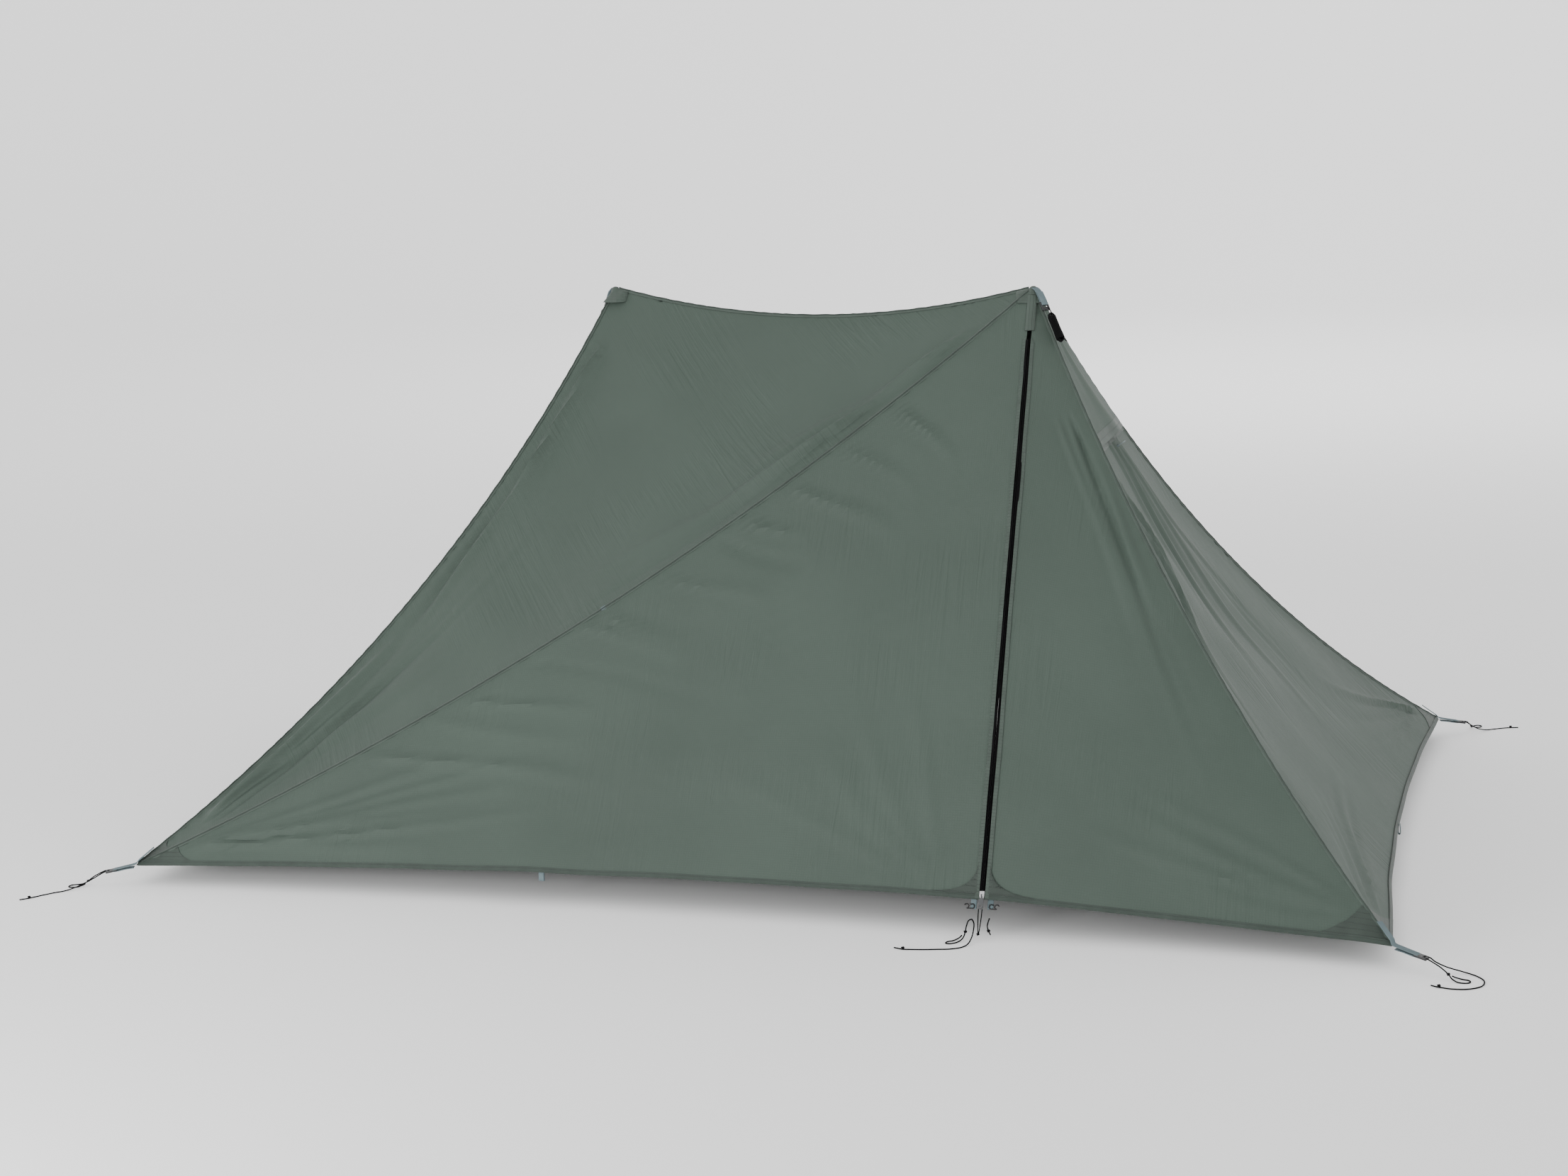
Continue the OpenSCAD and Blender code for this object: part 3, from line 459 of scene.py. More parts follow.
def woven_finish(name, colour, along=2600.0, across=2600.0, depth=0.0003, rough=0.75):
    """Webbing, tape or braided line, with painted shade in the grooves between the strands."""
    paint, tree, shader, uv, place = start_finish(name, Roughness=rough, Sheen_Weight=0.01,
                                                  Specular_IOR_Level=0.08)
    strands = use(tree, BRAID, {"Vector": uv, "Along": along, "Across": across})["Height"]
    patches = use(tree, MOTTLE, {"Vector": place, "Scale": 60.0})["Value"]
    base = tinted(tree, shader, patches, shade(colour, 0.85), shade(colour, 1.12))
    # painted shade: the colour darkens to 0.55 in the grooves between the strands
    painted_groove_shade = node(tree, "ShaderNodeMix", {"Factor": maths(tree, "MULTIPLY", strands, 0.6)}, data_type="RGBA")
    painted_groove_shade.inputs["A"].default_value = shade(colour, 0.55)
    tree.links.new(base, painted_groove_shade.inputs["B"])
    tree.links.new(painted_groove_shade.outputs["Result"], shader.inputs["Base Color"])
    raised(tree, shader, strands, depth, 0.9)
    return paint


def moulded_finish(name, colour, rough=0.45, metallic=0.0, grain=0.00012, scale=900.0):
    """Moulded plastic, rubber, cast or drawn metal, with fine grain and uneven wear."""
    paint, tree, shader, _, place = start_finish(name, Roughness=rough, Metallic=metallic)
    patches = use(tree, MOTTLE, {"Vector": place, "Scale": 45.0})["Value"]
    fine = use(tree, MOTTLE, {"Vector": place, "Scale": scale})["Value"]
    tinted(tree, shader, patches, shade(colour, 0.88), shade(colour, 1.15))
    dull = node(tree, "ShaderNodeMapRange", {"Value": patches, "To Min": rough * 0.85,
                                             "To Max": min(1.0, rough * 1.2)})
    tree.links.new(dull.outputs[0], shader.inputs["Roughness"])
    raised(tree, shader, fine, grain, 0.5)
    return paint


def netting_finish(name, colour):
    paint, tree, shader, uv, place = start_finish(name, Roughness=0.7)
    threads = use(tree, RIPSTOP, {"Vector": uv, "Spacing": 0.0016})
    patches = use(tree, MOTTLE, {"Vector": place, "Scale": 12.0})["Value"]
    tinted(tree, shader, patches, shade(colour, 0.8), shade(colour, 1.2))
    clear = node(tree, "ShaderNodeMapRange", {"Value": threads["Mask"], "To Min": 0.45, "To Max": 1.0})
    tree.links.new(clear.outputs[0], shader.inputs["Alpha"])
    raised(tree, shader, threads["Height"], 0.0003, 0.8)
    return paint


def teeth_finish(name, colour):
    """Zip: ribs across the coil on a woven tape, with painted shade between the ribs."""
    paint, tree, shader, uv, place = start_finish(name, Roughness=0.55, Specular_IOR_Level=0.08)
    along = node(tree, "ShaderNodeSeparateXYZ", {0: uv}).outputs[0]
    ribs = maths(tree, "ABSOLUTE", maths(tree, "SINE", maths(tree, "MULTIPLY", along, math.pi / 0.0016)))
    patches = use(tree, MOTTLE, {"Vector": place, "Scale": 60.0})["Value"]
    base = tinted(tree, shader, patches, shade(colour, 0.8), shade(colour, 1.25))
    # painted shade: the colour darkens to half between the coil's ribs
    painted_groove_shade = node(tree, "ShaderNodeMix", {"Factor": maths(tree, "MULTIPLY", ribs, 0.5)}, data_type="RGBA")
    painted_groove_shade.inputs["A"].default_value = shade(colour, 0.5)
    tree.links.new(base, painted_groove_shade.inputs["B"])
    tree.links.new(painted_groove_shade.outputs["Result"], shader.inputs["Base Color"])
    raised(tree, shader, ribs, 0.0008, 0.9)
    return paint


GREEN = (0.050, 0.070, 0.057)
DARK_GREEN = (0.028, 0.041, 0.033)
BLACK = (0.003, 0.003, 0.0035)
FLY = fly_finish("coated ripstop cloth", GREEN)
HOOD = fly_finish("hood cloth", tuple(c * 1.08 for c in GREEN))
FELL = sewn_finish("felled cloth beside the seams", tuple(c * 0.88 for c in GREEN), row=0.006)
PLACKET = sewn_finish("placket cloth", tuple(c * 0.84 for c in GREEN), row=0.007)
BOUND = sewn_finish("bound and stitched cloth", DARK_GREEN)
PATCH = sewn_finish("corner patch cloth", tuple(c * 0.62 for c in GREEN), row=0.012, stitch=0.0035)
NET = netting_finish("insect netting", (0.02, 0.021, 0.021))
WEBBING = woven_finish("light grey webbing", (0.15, 0.20, 0.215), 1900.0, 1900.0, 0.0004)
LINE = woven_finish("black braided line", BLACK, 1500.0, 2400.0, 0.0004, 0.7)
ZIP = teeth_finish("black zip", BLACK)
PLASTIC = moulded_finish("black moulded plastic", (0.008, 0.008, 0.009), 0.42)
TAB = moulded_finish("dark grey soft tab", (0.045, 0.048, 0.05), 0.55)
STRUT = moulded_finish("light grey strip", (0.20, 0.24, 0.25), 0.5)
RUBBER = moulded_finish("black rubber", (0.02, 0.02, 0.02), 0.7, grain=0.0003, scale=400.0)
TUBE = moulded_finish("satin tube", (0.45, 0.47, 0.48), 0.32, 1.0, 0.00004)
CAST = moulded_finish("plated slider metal", (0.60, 0.60, 0.61), 0.28, 1.0, 0.00006)
LEVER = moulded_finish("painted lever metal", (0.10, 0.10, 0.11), 0.38, 0.6)


# ---- panels of the fly ----

def fall(p, q):
    c = unit(q - p)
    return unit(DOWN + c * c[2])


class Panel:
    """Three corners, the hollows of edges 0-1, 1-2 and 2-0, and the folds in the cloth."""

    def __init__(self, corners, hollows, sewn, seed):
        self.corners = np.array(corners, float)
        self.hollows = np.array(hollows, float)
        self.out = unit(np.cross(self.corners[1] - self.corners[0], self.corners[2] - self.corners[0]))
        self.sewn = sewn
        self.seed = seed
        self.folds = []
        double = np.linalg.norm(np.cross(self.corners[1] - self.corners[0],
                                         self.corners[2] - self.corners[0]))
        self.rise = np.array([double / np.linalg.norm(self.corners[(i + 1) % 3] - self.corners[(i + 2) % 3])
                              for i in range(3)])
        self.along_x = unit(self.corners[1] - self.corners[0])
        self.along_y = np.cross(self.out, self.along_x)

    def bare(self, w):
        a, b, c = w[..., 0:1], w[..., 1:2], w[..., 2:3]
        h = self.hollows
        return w @ self.corners + 4 * (a * b * h[0] + b * c * h[1] + c * a * h[2])

    def flat(self, w):
        v = w @ self.corners - self.corners[0]
        return np.stack([v @ self.along_x, v @ self.along_y], axis=-1)

    def height(self, w):
        """How far the cloth stands off its smooth surface: folds, slow waves and seam puckers."""
        rng = np.random.default_rng(self.seed)
        at = self.flat(w)
        held = np.ones(w.shape[:-1])
        for edge in self.sewn:
            held = held * smooth(w[..., edge] * self.rise[edge] / 0.05)
        total = np.zeros(w.shape[:-1])
        for k in range(9):
            turn, wave = rng.uniform(0, math.pi), rng.uniform(0.16, 0.5)
            total += 0.0013 * np.sin(2 * math.pi / wave * (at[..., 0] * math.cos(turn)
                                     + at[..., 1] * math.sin(turn)) + rng.uniform(0, 6.3)) * (wave / 0.4)
        for a, b, size, w0, w1 in self.folds:
            w0, w1 = 0.72 * w0, 0.72 * w1
            run = b - a
            reach = np.linalg.norm(run)
            run = run / reach
            s = ((at - a) @ run) / reach
            off = (at[..., 0] - a[0]) * -run[1] + (at[..., 1] - a[1]) * run[0]
            off = off + 0.010 * np.sin(s * 5 + size * 3000)
            k = off / mix(w0, w1, np.clip(s, 0, 1))
            total += size * (1 - 0.8 * k * k) * np.exp(-k * k) * smooth(s / 0.10) * smooth((1 - s) / 0.55)
        total = total * held
        for edge in self.sewn:
            i, j = (edge + 1) % 3, (edge + 2) % 3
            run = unit(self.corners[j] - self.corners[i])
            e = (w @ self.corners - self.corners[i]) @ run
            near = w[..., edge] * self.rise[edge]
            beat = 0.5 + 0.5 * np.sin(e * 23 + self.seed) * np.sin(e * 9.1 + edge)
            total += 0.0016 * beat * np.sin(2 * math.pi * e / 0.034 + 2 * np.sin(e * 11)) \
                * smooth(near / 0.006) * np.exp(-near / 0.030)
        return total

    def point(self, w, lift=0.0):
        w = np.asarray(w, float)
        return self.bare(w) + self.out * (self.height(w)[..., None] + np.asarray(lift)[..., None])

    def along(self, i, j, d):
        s = d / np.linalg.norm(self.corners[j] - self.corners[i])
        w = np.zeros(3)
        w[i], w[j] = 1 - s, s
        return w

    def off_edge(self, w, i, d):
        s = d / self.rise[i]
        moved = np.asarray(w, float) * (1 - s)
        moved[i] = w[i] + s
        return moved

    def place(self, u, v, w):
        total = u + v + w
        return self.flat(np.array([u, v, w], float) / total)

    def fan(self, count, starts, ends, size, w0, w1, seed, short=0.6):
        """Folds that spread from one stretch of the panel to another."""
        rng = np.random.default_rng(seed)
        for i in range(count):
            f = (i + 0.5 + rng.uniform(-0.35, 0.35)) / count
            a = mix(self.place(*starts[0]), self.place(*starts[1]), f)
            b = mix(self.place(*ends[0]), self.place(*ends[1]), f)
            b = a + (b - a) * rng.uniform(short, 1.0)
            k = rng.uniform(0.45, 1.0) * rng.choice([1, 1, -0.7])
            grow = rng.uniform(0.7, 1.3)
            self.folds.append((a, b, size * 1.9 * k, w0 * grow, w1 * grow))


A = np.array([-BASE_L / 2, -BASE_W / 2, CORNER_H])
B = np.array([BASE_L / 2, -BASE_W / 2, CORNER_H])
C = np.array([BASE_L / 2, BASE_W / 2, CORNER_H])
P1 = np.array([PEAK_X, -PEAK_Y, PEAK_H])
P2 = half_turn(P1)
FOOT = np.array([FOOT_X, -BASE_W / 2 + FOOT_IN, CORNER_H + FOOT_UP])


def fly_panels(turn):
    go = sides(turn)
    a, b, c, p1, p2, foot = (go(v) for v in (A, B, C, P1, P2, FOOT))
    s = 40 if turn else 0
    wide = Panel([a, foot, p1], [go([0, WIDE_HEM, WIDE_HEM / 3]), [0, 0, 0], fall(p1, a) * WIDE_SAG],
                 [1], 3 + s)
    narrow = Panel([foot, b, p1], [go([0, NARROW_HEM, NARROW_HEM / 3]), fall(p1, b) * NARROW_SAG,
                                   [0, 0, 0]], [0], 5 + s)
    wall = Panel([b, c, p1], [go([-END_HEM, 0, 0]), fall(p1, c) * END_SAG, fall(p1, b) * NARROW_SAG],
                 [0, 1], 7 + s)
    roof = Panel([a, p1, p2], [fall(p1, a) * WIDE_SAG, [0, 0, -RIDGE_SAG], fall(p2, a) * END_SAG],
                 [0, 1, 2], 11 + s)
    wide.fan(12, ((0.80, 0, 0.20), (0.14, 0, 0.86)), ((0.30, 0.62, 0.08), (0.06, 0.24, 0.70)),
             0.0042, 0.014, 0.034, 21 + s, 0.35)
    wide.fan(6, ((0.96, 0.01, 0.03), (0.93, 0.01, 0.06)), ((0.40, 0.56, 0.04), (0.50, 0.20, 0.30)),
             0.0036, 0.010, 0.034, 22 + s)
    wide.fan(4, ((0.10, 0.88, 0.02), (0.03, 0.94, 0.03)), ((0.45, 0.35, 0.20), (0.10, 0.30, 0.60)),
             0.0026, 0.012, 0.040, 23 + s)
    narrow.fan(6, ((0.10, 0.10, 0.80), (0.02, 0.16, 0.82)), ((0.30, 0.64, 0.06), (0.06, 0.80, 0.14)),
               0.0034, 0.012, 0.026, 24 + s, 0.45)
    narrow.fan(4, ((0.06, 0.92, 0.02), (0.02, 0.92, 0.06)), ((0.80, 0.14, 0.06), (0.50, 0.20, 0.30)),
               0.0028, 0.009, 0.030, 25 + s)
    wall.fan(7, ((0.16, 0.06, 0.78), (0.07, 0.15, 0.78)), ((0.70, 0.24, 0.06), (0.24, 0.70, 0.06)),
             0.0050, 0.011, 0.036, 26 + s, 0.4)
    wall.fan(5, ((0.24, 0.02, 0.74), (0.42, 0.02, 0.56)), ((0.66, 0.10, 0.24), (0.84, 0.08, 0.08)),
             0.0048, 0.011, 0.022, 27 + s, 0.5)
    wall.fan(5, ((0.93, 0.04, 0.03), (0.94, 0.02, 0.04)), ((0.45, 0.45, 0.10), (0.55, 0.15, 0.30)),
             0.0036, 0.010, 0.032, 28 + s)
    wall.fan(5, ((0.04, 0.93, 0.03), (0.02, 0.94, 0.04)), ((0.45, 0.45, 0.10), (0.15, 0.55, 0.30)),
             0.0036, 0.010, 0.032, 29 + s)
    roof.fan(9, ((0.92, 0.07, 0.01), (0.92, 0.01, 0.07)), ((0.34, 0.30, 0.36), (0.10, 0.06, 0.84)),
             0.0056, 0.011, 0.034, 30 + s, 0.45)
    roof.fan(7, ((0.06, 0.03, 0.91), (0.10, 0.01, 0.89)), ((0.70, 0.14, 0.16), (0.84, 0.02, 0.14)),
             0.0052, 0.012, 0.026, 31 + s, 0.5)
    roof.fan(6, ((0.04, 0.92, 0.04), (0.08, 0.90, 0.02)), ((0.46, 0.30, 0.24), (0.70, 0.24, 0.06)),
             0.0046, 0.012, 0.034, 32 + s, 0.4)
    return {"wide": wide, "narrow": narrow, "wall": wall, "roof": roof}


FLY_PANELS = {False: fly_panels(False), True: fly_panels(True)}


def patchwork(panel, quad, nu, nv, lift=0.0):
    """Rows of surface points between four corner weights, with the cloth's flat places as UV."""
    s, t = np.meshgrid(np.linspace(0, 1, nu + 1), np.linspace(0, 1, nv + 1))
    q = [np.asarray(c, float) for c in quad]
    s, t = s[..., None], t[..., None]
    w = mix(mix(q[0], q[1], s), mix(q[3], q[2], s), t)
    return panel.point(w, np.full(w.shape[:-1], lift)), panel.flat(w)


def cloth(panel, quad, nu, nv, lift=0.0):
    return skin(*patchwork(panel, quad, nu, nv, lift))


def pad(panel, quad, nu, nv, lift, t):
    """Closed thin sheet over part of a panel."""
    top, uv = patchwork(panel, quad, nu, nv, lift + t)
    low = top - panel.out * t
    rows = np.concatenate([low[:1], top, low[-1:]])
    over = skin(rows, np.concatenate([uv[:1], uv, uv[-1:]]))
    under = skin(low, uv)
    left = skin(np.stack([low[:, 0], top[:, 0]], 1), np.stack([uv[:, 0], uv[:, 0]], 1))
    right = skin(np.stack([low[:, -1], top[:, -1]], 1), np.stack([uv[:, -1], uv[:, -1]], 1))
    return [over, under, left, right]


def edge_weights(i, j, count, start=0.0, stop=1.0):
    w = np.zeros((count + 1, 3))
    s = np.linspace(start, stop, count + 1)
    w[:, i], w[:, j] = 1 - s, s
    return w


def seam_parts(panels_in, curve, width=0.0048):
    """Felled cloth on both sides of a seam, and the rolled bead along it. panels_in are
    (way into the panel, panel's outward way) pairs."""
    (in1, n1), (in2, n2) = panels_in
    m = unit(n1 + n2)
    flank = [in1 * width + n1 * 0.0004, in1 * width * 0.85 + n1 * 0.0013, in1 * 0.0012 + n1 * 0.0016,
             m * 0.0022, in2 * 0.0012 + n2 * 0.0016, in2 * width * 0.85 + n2 * 0.0013,
             in2 * width + n2 * 0.0004, in2 * 0.003 - n2 * 0.002, -m * 0.003, in1 * 0.003 - n1 * 0.002]
    across = unit(in1 - in2)
    far = lengths(curve)
    sides_rows, bead_rows = [], []
    for k, p in enumerate(curve):
        pucker = math.sin(far[k] * 170 + 2 * math.sin(far[k] * 31))
        sides_rows.append([p + r * (1 + 0.18 * pucker if r @ m > 0.001 else 1) for r in flank])
        middle = p + m * (0.0026 + 0.0004 * pucker)
        bead_rows.append([middle + 0.0016 * (across * math.cos(a) + 0.8 * m * math.sin(a))
                          for a in np.linspace(0, 2 * math.pi, 8, endpoint=False)])
    made = []
    for rows in (sides_rows, bead_rows):
        n = len(rows[0])
        uv = grid_uv(far, np.linspace(0, 0.0015 * n, n + 1))
        made.append(skin(np.array(rows), uv, wrap=True, caps=True))
    return made


def inward(panel, i, j):
    """Way into a panel from its edge i-j, in its own plane."""
    k = 3 - i - j
    run = unit(panel.corners[j] - panel.corners[i])
    way = panel.corners[k] - panel.corners[i]
    way = way - run * (way @ run)
    return unit(way)


def binding_part(panel, i, j, count, start, stop, width=HEM_W):
    """Folded binding round a panel's edge, on the cloth's own folds."""
    w = edge_weights(i, j, count, start, stop)
    curve = panel.point(w, np.zeros(len(w)))
    way, n = inward(panel, i, j), panel.out
    rib = [way * width + n * 0.0006, way * width * 0.94 + n * 0.0014, way * 0.001 + n * 0.0015,
           -way * 0.0008, way * 0.001 - n * 0.0015, way * width * 0.94 - n * 0.0014,
           way * width - n * 0.0006]
    rows = [[p + r for r in rib] for p in curve]
    uv = grid_uv(lengths(curve), np.array([0.010, 0.009, 0.0, 0.0, 0.0, 0.009, 0.010, 0.010]) + 0.002)
    return skin(np.array(rows), uv, wrap=True, caps=True)


def corner_patch(panel, i, j, along_l=0.150, seam_h=0.095):
    """Doubled cloth at a hem corner, its inner edge cut in a shallow arc."""
    k = 3 - i - j
    nu, nv = 14, 8
    base = np.eye(3)[i]
    far, high = panel.along(i, j, along_l), panel.along(i, k, seam_h)
    rows = []
    for r in np.linspace(0.03, 1, nv + 1):
        row = []
        for f in np.linspace(0, 1, nu + 1):
            rim = mix(far, high, f)
            pull = 1 - 0.12 * math.sin(math.pi * f)
            row.append(base + (rim - base) * r * pull)
        rows.append(row)
    w = np.array(rows)
    top = panel.point(w, np.full(w.shape[:-1], 0.0013))
    low = top - panel.out * 0.0012
    uv = panel.flat(w)
    loop = lambda g: np.concatenate([g[0], g[1:, -1], g[-1, -2::-1], g[-2:0:-1, 0]])
    rim = np.stack([loop(top), loop(low)])
    rim_uv = np.stack([loop(uv)] * 2)
    rim_uv = np.concatenate([rim_uv, rim_uv[:, :1]], axis=1)
    return [skin(top, uv), skin(low, uv), skin(rim, rim_uv, wrap=True)]


def turned(part, turn):
    points, faces, corners = part
    return (sides(turn)(points), faces, corners)


# ---- cords ----

LINE_ANGLES = [200, -22, 20, 158]
CORNERS = [A, B, C, half_turn(B)]
WEB_OUT, WEB_FALL = 0.046, 0.008
FLOOR = LINE_D / 2 + 0.0001
BAR = [58, 0, 31]
F = FLOOR / MM
ROUTE_A = [[227, 79, F], [209, 71, F], [189, 57, F], [166, 42, F], [140, 30, 2], [115, 19, 8],
           [92, 10, 17], [76, 5.6, 25], [66, 5, 30], [60, 3.6, 31], BAR, [60, -3.6, 31], [66, -5, 30],
           [76, -5, 26], [90, -4, 19], [103, -4, 10], [112, -8, 4], [124, -11, F], [137, -9, F],
           [143, 0, F], [137, 8, F], [124, 8, F], [113, 4, 3.6], [107, 2, 6]]
ROUTE_B = [[92, -50, F], [107, -51, F], [130, -47, F], [152, -33, F], [165, -8, F], [158, 20, F],
           [136, 37, F], [110, 38, 4], [88, 24, 12], [74, 9, 23], [66, 5, 30], [60, 3.6, 31], BAR,
           [60, -3.6, 31], [66, -5, 30], [76, -5, 26], [90, -4, 19], [103, -4, 10], [112, -8, 4],
           [124, -11, F], [136, -8, F], [141, 0, F], [136, 8, F], [124, 8, F], [113, 4, 3.6],
           [107, 2, 6]]
ROUTE_C = [[204, 34, F], [186, 36, F], [164, 35, F], [142, 29, F], [120, 20, 3], [98, 8, 10],
           [80, -2, 21], [66, -5, 30], [60, -3.6, 31], BAR, [60, 3.6, 31], [66, 6, 30], [74, 14, 26],
           [83, 26, 18], [92, 39, 9], [96, 51, 3.6], [101, 62, F], [110, 71, F], [120, 73, F],
           [125, 65, F], [119, 55, F], [108, 47, 3], [100, 42, 5.6]]
ROUTES = [ROUTE_A, ROUTE_B, ROUTE_C, ROUTE_B]
LOOP_KNOTS = [15, 17, 14, 17]
DOOR_ROUTE = [[-142, -118, F], [-124, -124, F], [-106, -122, F], [-84, -118, F], [-62, -112, F],
              [-40, -106, F], [-22, -94, F], [-12, -78, 3], [-8, -62, 10], [-7, -48, 20],
              [-8, -38, 31], [-13, -33, 37], [-19, -35, 34], [-22, -40, 25], [-23, -46, 16],
              [-25, -53, 8], [-30, -61, 3], [-37, -69, F], [-46, -76, F], [-54, -75, F],
              [-53, -66, F], [-44, -58, F], [-34, -51, 5], [-29, -48, 10]]
DOOR_HOOK, DOOR_KNOT = 11, 14
DOOR_STRAND = [[20, -30, 40], [18, -33, 33], [17, -36, 26], [20, -41, 19], [25, -46, 13]]
KNOT_R = 0.004


def set_down(i):
    c, s = math.cos(math.radians(LINE_ANGLES[i])), math.sin(math.radians(LINE_ANGLES[i]))
    v = np.array(ROUTES[i], float) * MM
    o = CORNERS[i]
    return np.stack([o[0] + c * v[:, 0] - s * v[:, 1], o[1] + s * v[:, 0] + c * v[:, 1], v[:, 2]], axis=1)


def knot_part(at, size=KNOT_R, tilt=0.4):
    """Overhand knot, drawn tight."""
    t = np.linspace(0, 2 * math.pi, 40)
    k = size / 5.2
    x = (np.sin(t) + 2 * np.sin(2 * t)) * k
    y = (np.cos(t) - 2 * np.cos(2 * t)) * k
    z = -np.sin(3 * t) * k * 1.1
    c, s = math.cos(tilt), math.sin(tilt)
    path = np.stack([x, y * c - z * s, y * s + z * c], axis=1) + at
    return sweep(path, ring(size * 0.33, 8), twist_free=True)


def cord_piece(name, path, body, stands_for, exit_at, diameter=LINE_D,
               knots=(), sides_n=10):
    thing = piece(name, [(sweep(path, ring(diameter / 2, sides_n), twist_free=True), 0)], [LINE], body,
                  stands_for, crisp=80)
    for n, at in enumerate(knots):
        piece(f"{name}_knot_{n + 1}", [(knot_part(at), 0)], [LINE], body, ["line_knots"],
                          crisp=80)
    list(exit_at)
    return thing


def corner_lines():
    for i, letter in enumerate("abcd"):
        route = set_down(i)
        bar = ROUTES[i].index(BAR)
        tail = spline(route[bar::-1], 6)
        loop = spline(route[bar:], 6)
        tail_knot = np.array([route[1][0], route[1][1], KNOT_R])
        cord_piece(f"corner_tail_{letter}", tail, "canopy", [f"corner_line_{letter}"], tail[0],
                   knots=[tail_knot])
        cord_piece(f"corner_peg_loop_{letter}", loop, "canopy", [f"corner_line_{letter}"], loop[0],
                   knots=[route[LOOP_KNOTS[i]]])


def door_lines():
    for turn, end in ENDS:
        go = sides(turn)
        ground = np.array([FOOT[0], FOOT[1], 0])
        route = go(np.array(DOOR_ROUTE) * MM + ground)
        strand = go(np.array(DOOR_STRAND) * MM + ground)
        tail, loop = spline(route[DOOR_HOOK::-1], 6), spline(route[DOOR_HOOK:], 6)
        tail_knot = np.array([route[1][0], route[1][1], KNOT_R])
        node_name = [f"door_line_{end}"]
        cord_piece(f"door_tail_{end}", tail, "canopy", node_name, tail[0], knots=[tail_knot])
        cord_piece(f"door_peg_loop_{end}", loop, "canopy", node_name, loop[0], knots=[route[DOOR_KNOT]])
        cord_piece(f"door_strand_{end}", spline(strand, 6), "canopy", node_name, strand[0],
                   knots=[strand[3]])


ZIP_RUN = unit(P1 - FOOT)
OUT_MEAN = unit(FLY_PANELS[False]["wide"].out + FLY_PANELS[False]["narrow"].out)
ZIP_OUT = unit(OUT_MEAN - ZIP_RUN * (OUT_MEAN @ ZIP_RUN))
ZIP_SIDE = np.cross(ZIP_OUT, ZIP_RUN)
ZIP_L = float(np.linalg.norm(P1 - FOOT))
PULL_PIN = (0, 0.0075, 0.006)
PULL_L, CORD_DROP = 0.027, 0.048


def at_zip(v, turn=False):
    """Places in the zip's frame: to the wide door, out of the cloth, up the zip."""
    v = np.asarray(v, float)
    placed = FOOT + v[..., 0:1] * ZIP_SIDE + v[..., 1:2] * ZIP_OUT + v[..., 2:3] * ZIP_RUN
    return sides(turn)(placed)


def pull_cords():
    for turn, end in ENDS:
        f = np.linspace(0, 1, 25)
        for s, side in ((-1, "a"), (1, "b")):
            v = np.stack([s * 0.0034 * np.cos(np.radians(80 * f)) + PULL_PIN[0], np.full(25, PULL_PIN[1]),
                          PULL_PIN[2] - PULL_L - 0.0002 - CORD_DROP * f], axis=1)
            path = at_zip(v, turn)
            thing = piece(f"pull_cord_{end}_{side}", [(sweep(path, ring(0.001, 8), twist_free=True), 0)],
                          [LINE], f"pull_{end}", [f"pull_cord_{end}"], crisp=80)
            if s == 1:
                piece(f"pull_cord_{end}_knot", [(knot_part(path[-1], 0.0036), 0)], [LINE],
                                  f"pull_{end}", [f"pull_cord_{end}"], crisp=80)


NARROW, WALL = FLY_PANELS[False]["narrow"], FLY_PANELS[False]["wall"]
SEAM_RUN = unit(NARROW.bare(NARROW.along(2, 1, 0.230)) - P1)
SEAM_OUT = unit(NARROW.out + WALL.out)
HANK_START, HANK_L, HANK_LIFT = 0.066, 0.088, 0.020
HANK_FOLDS, FOLD_R = 3, 0.0054
WRAPS, WRAP_STEPS, WRAP_W, WRAP_T = 22, 14, 0.0083, 0.0062
SEAM_UP = unit(SEAM_OUT - SEAM_RUN * (SEAM_OUT @ SEAM_RUN))
SEAM_X = np.cross(SEAM_UP, SEAM_RUN)


def by_seam(v, turn=False):
    """Places beside the near corner seam: across it, off it, and down from the peak."""
    v = np.asarray(v, float)
    placed = P1 + v[..., 0:1] * SEAM_X + v[..., 1:2] * SEAM_UP + v[..., 2:3] * SEAM_RUN
    return sides(turn)(placed)


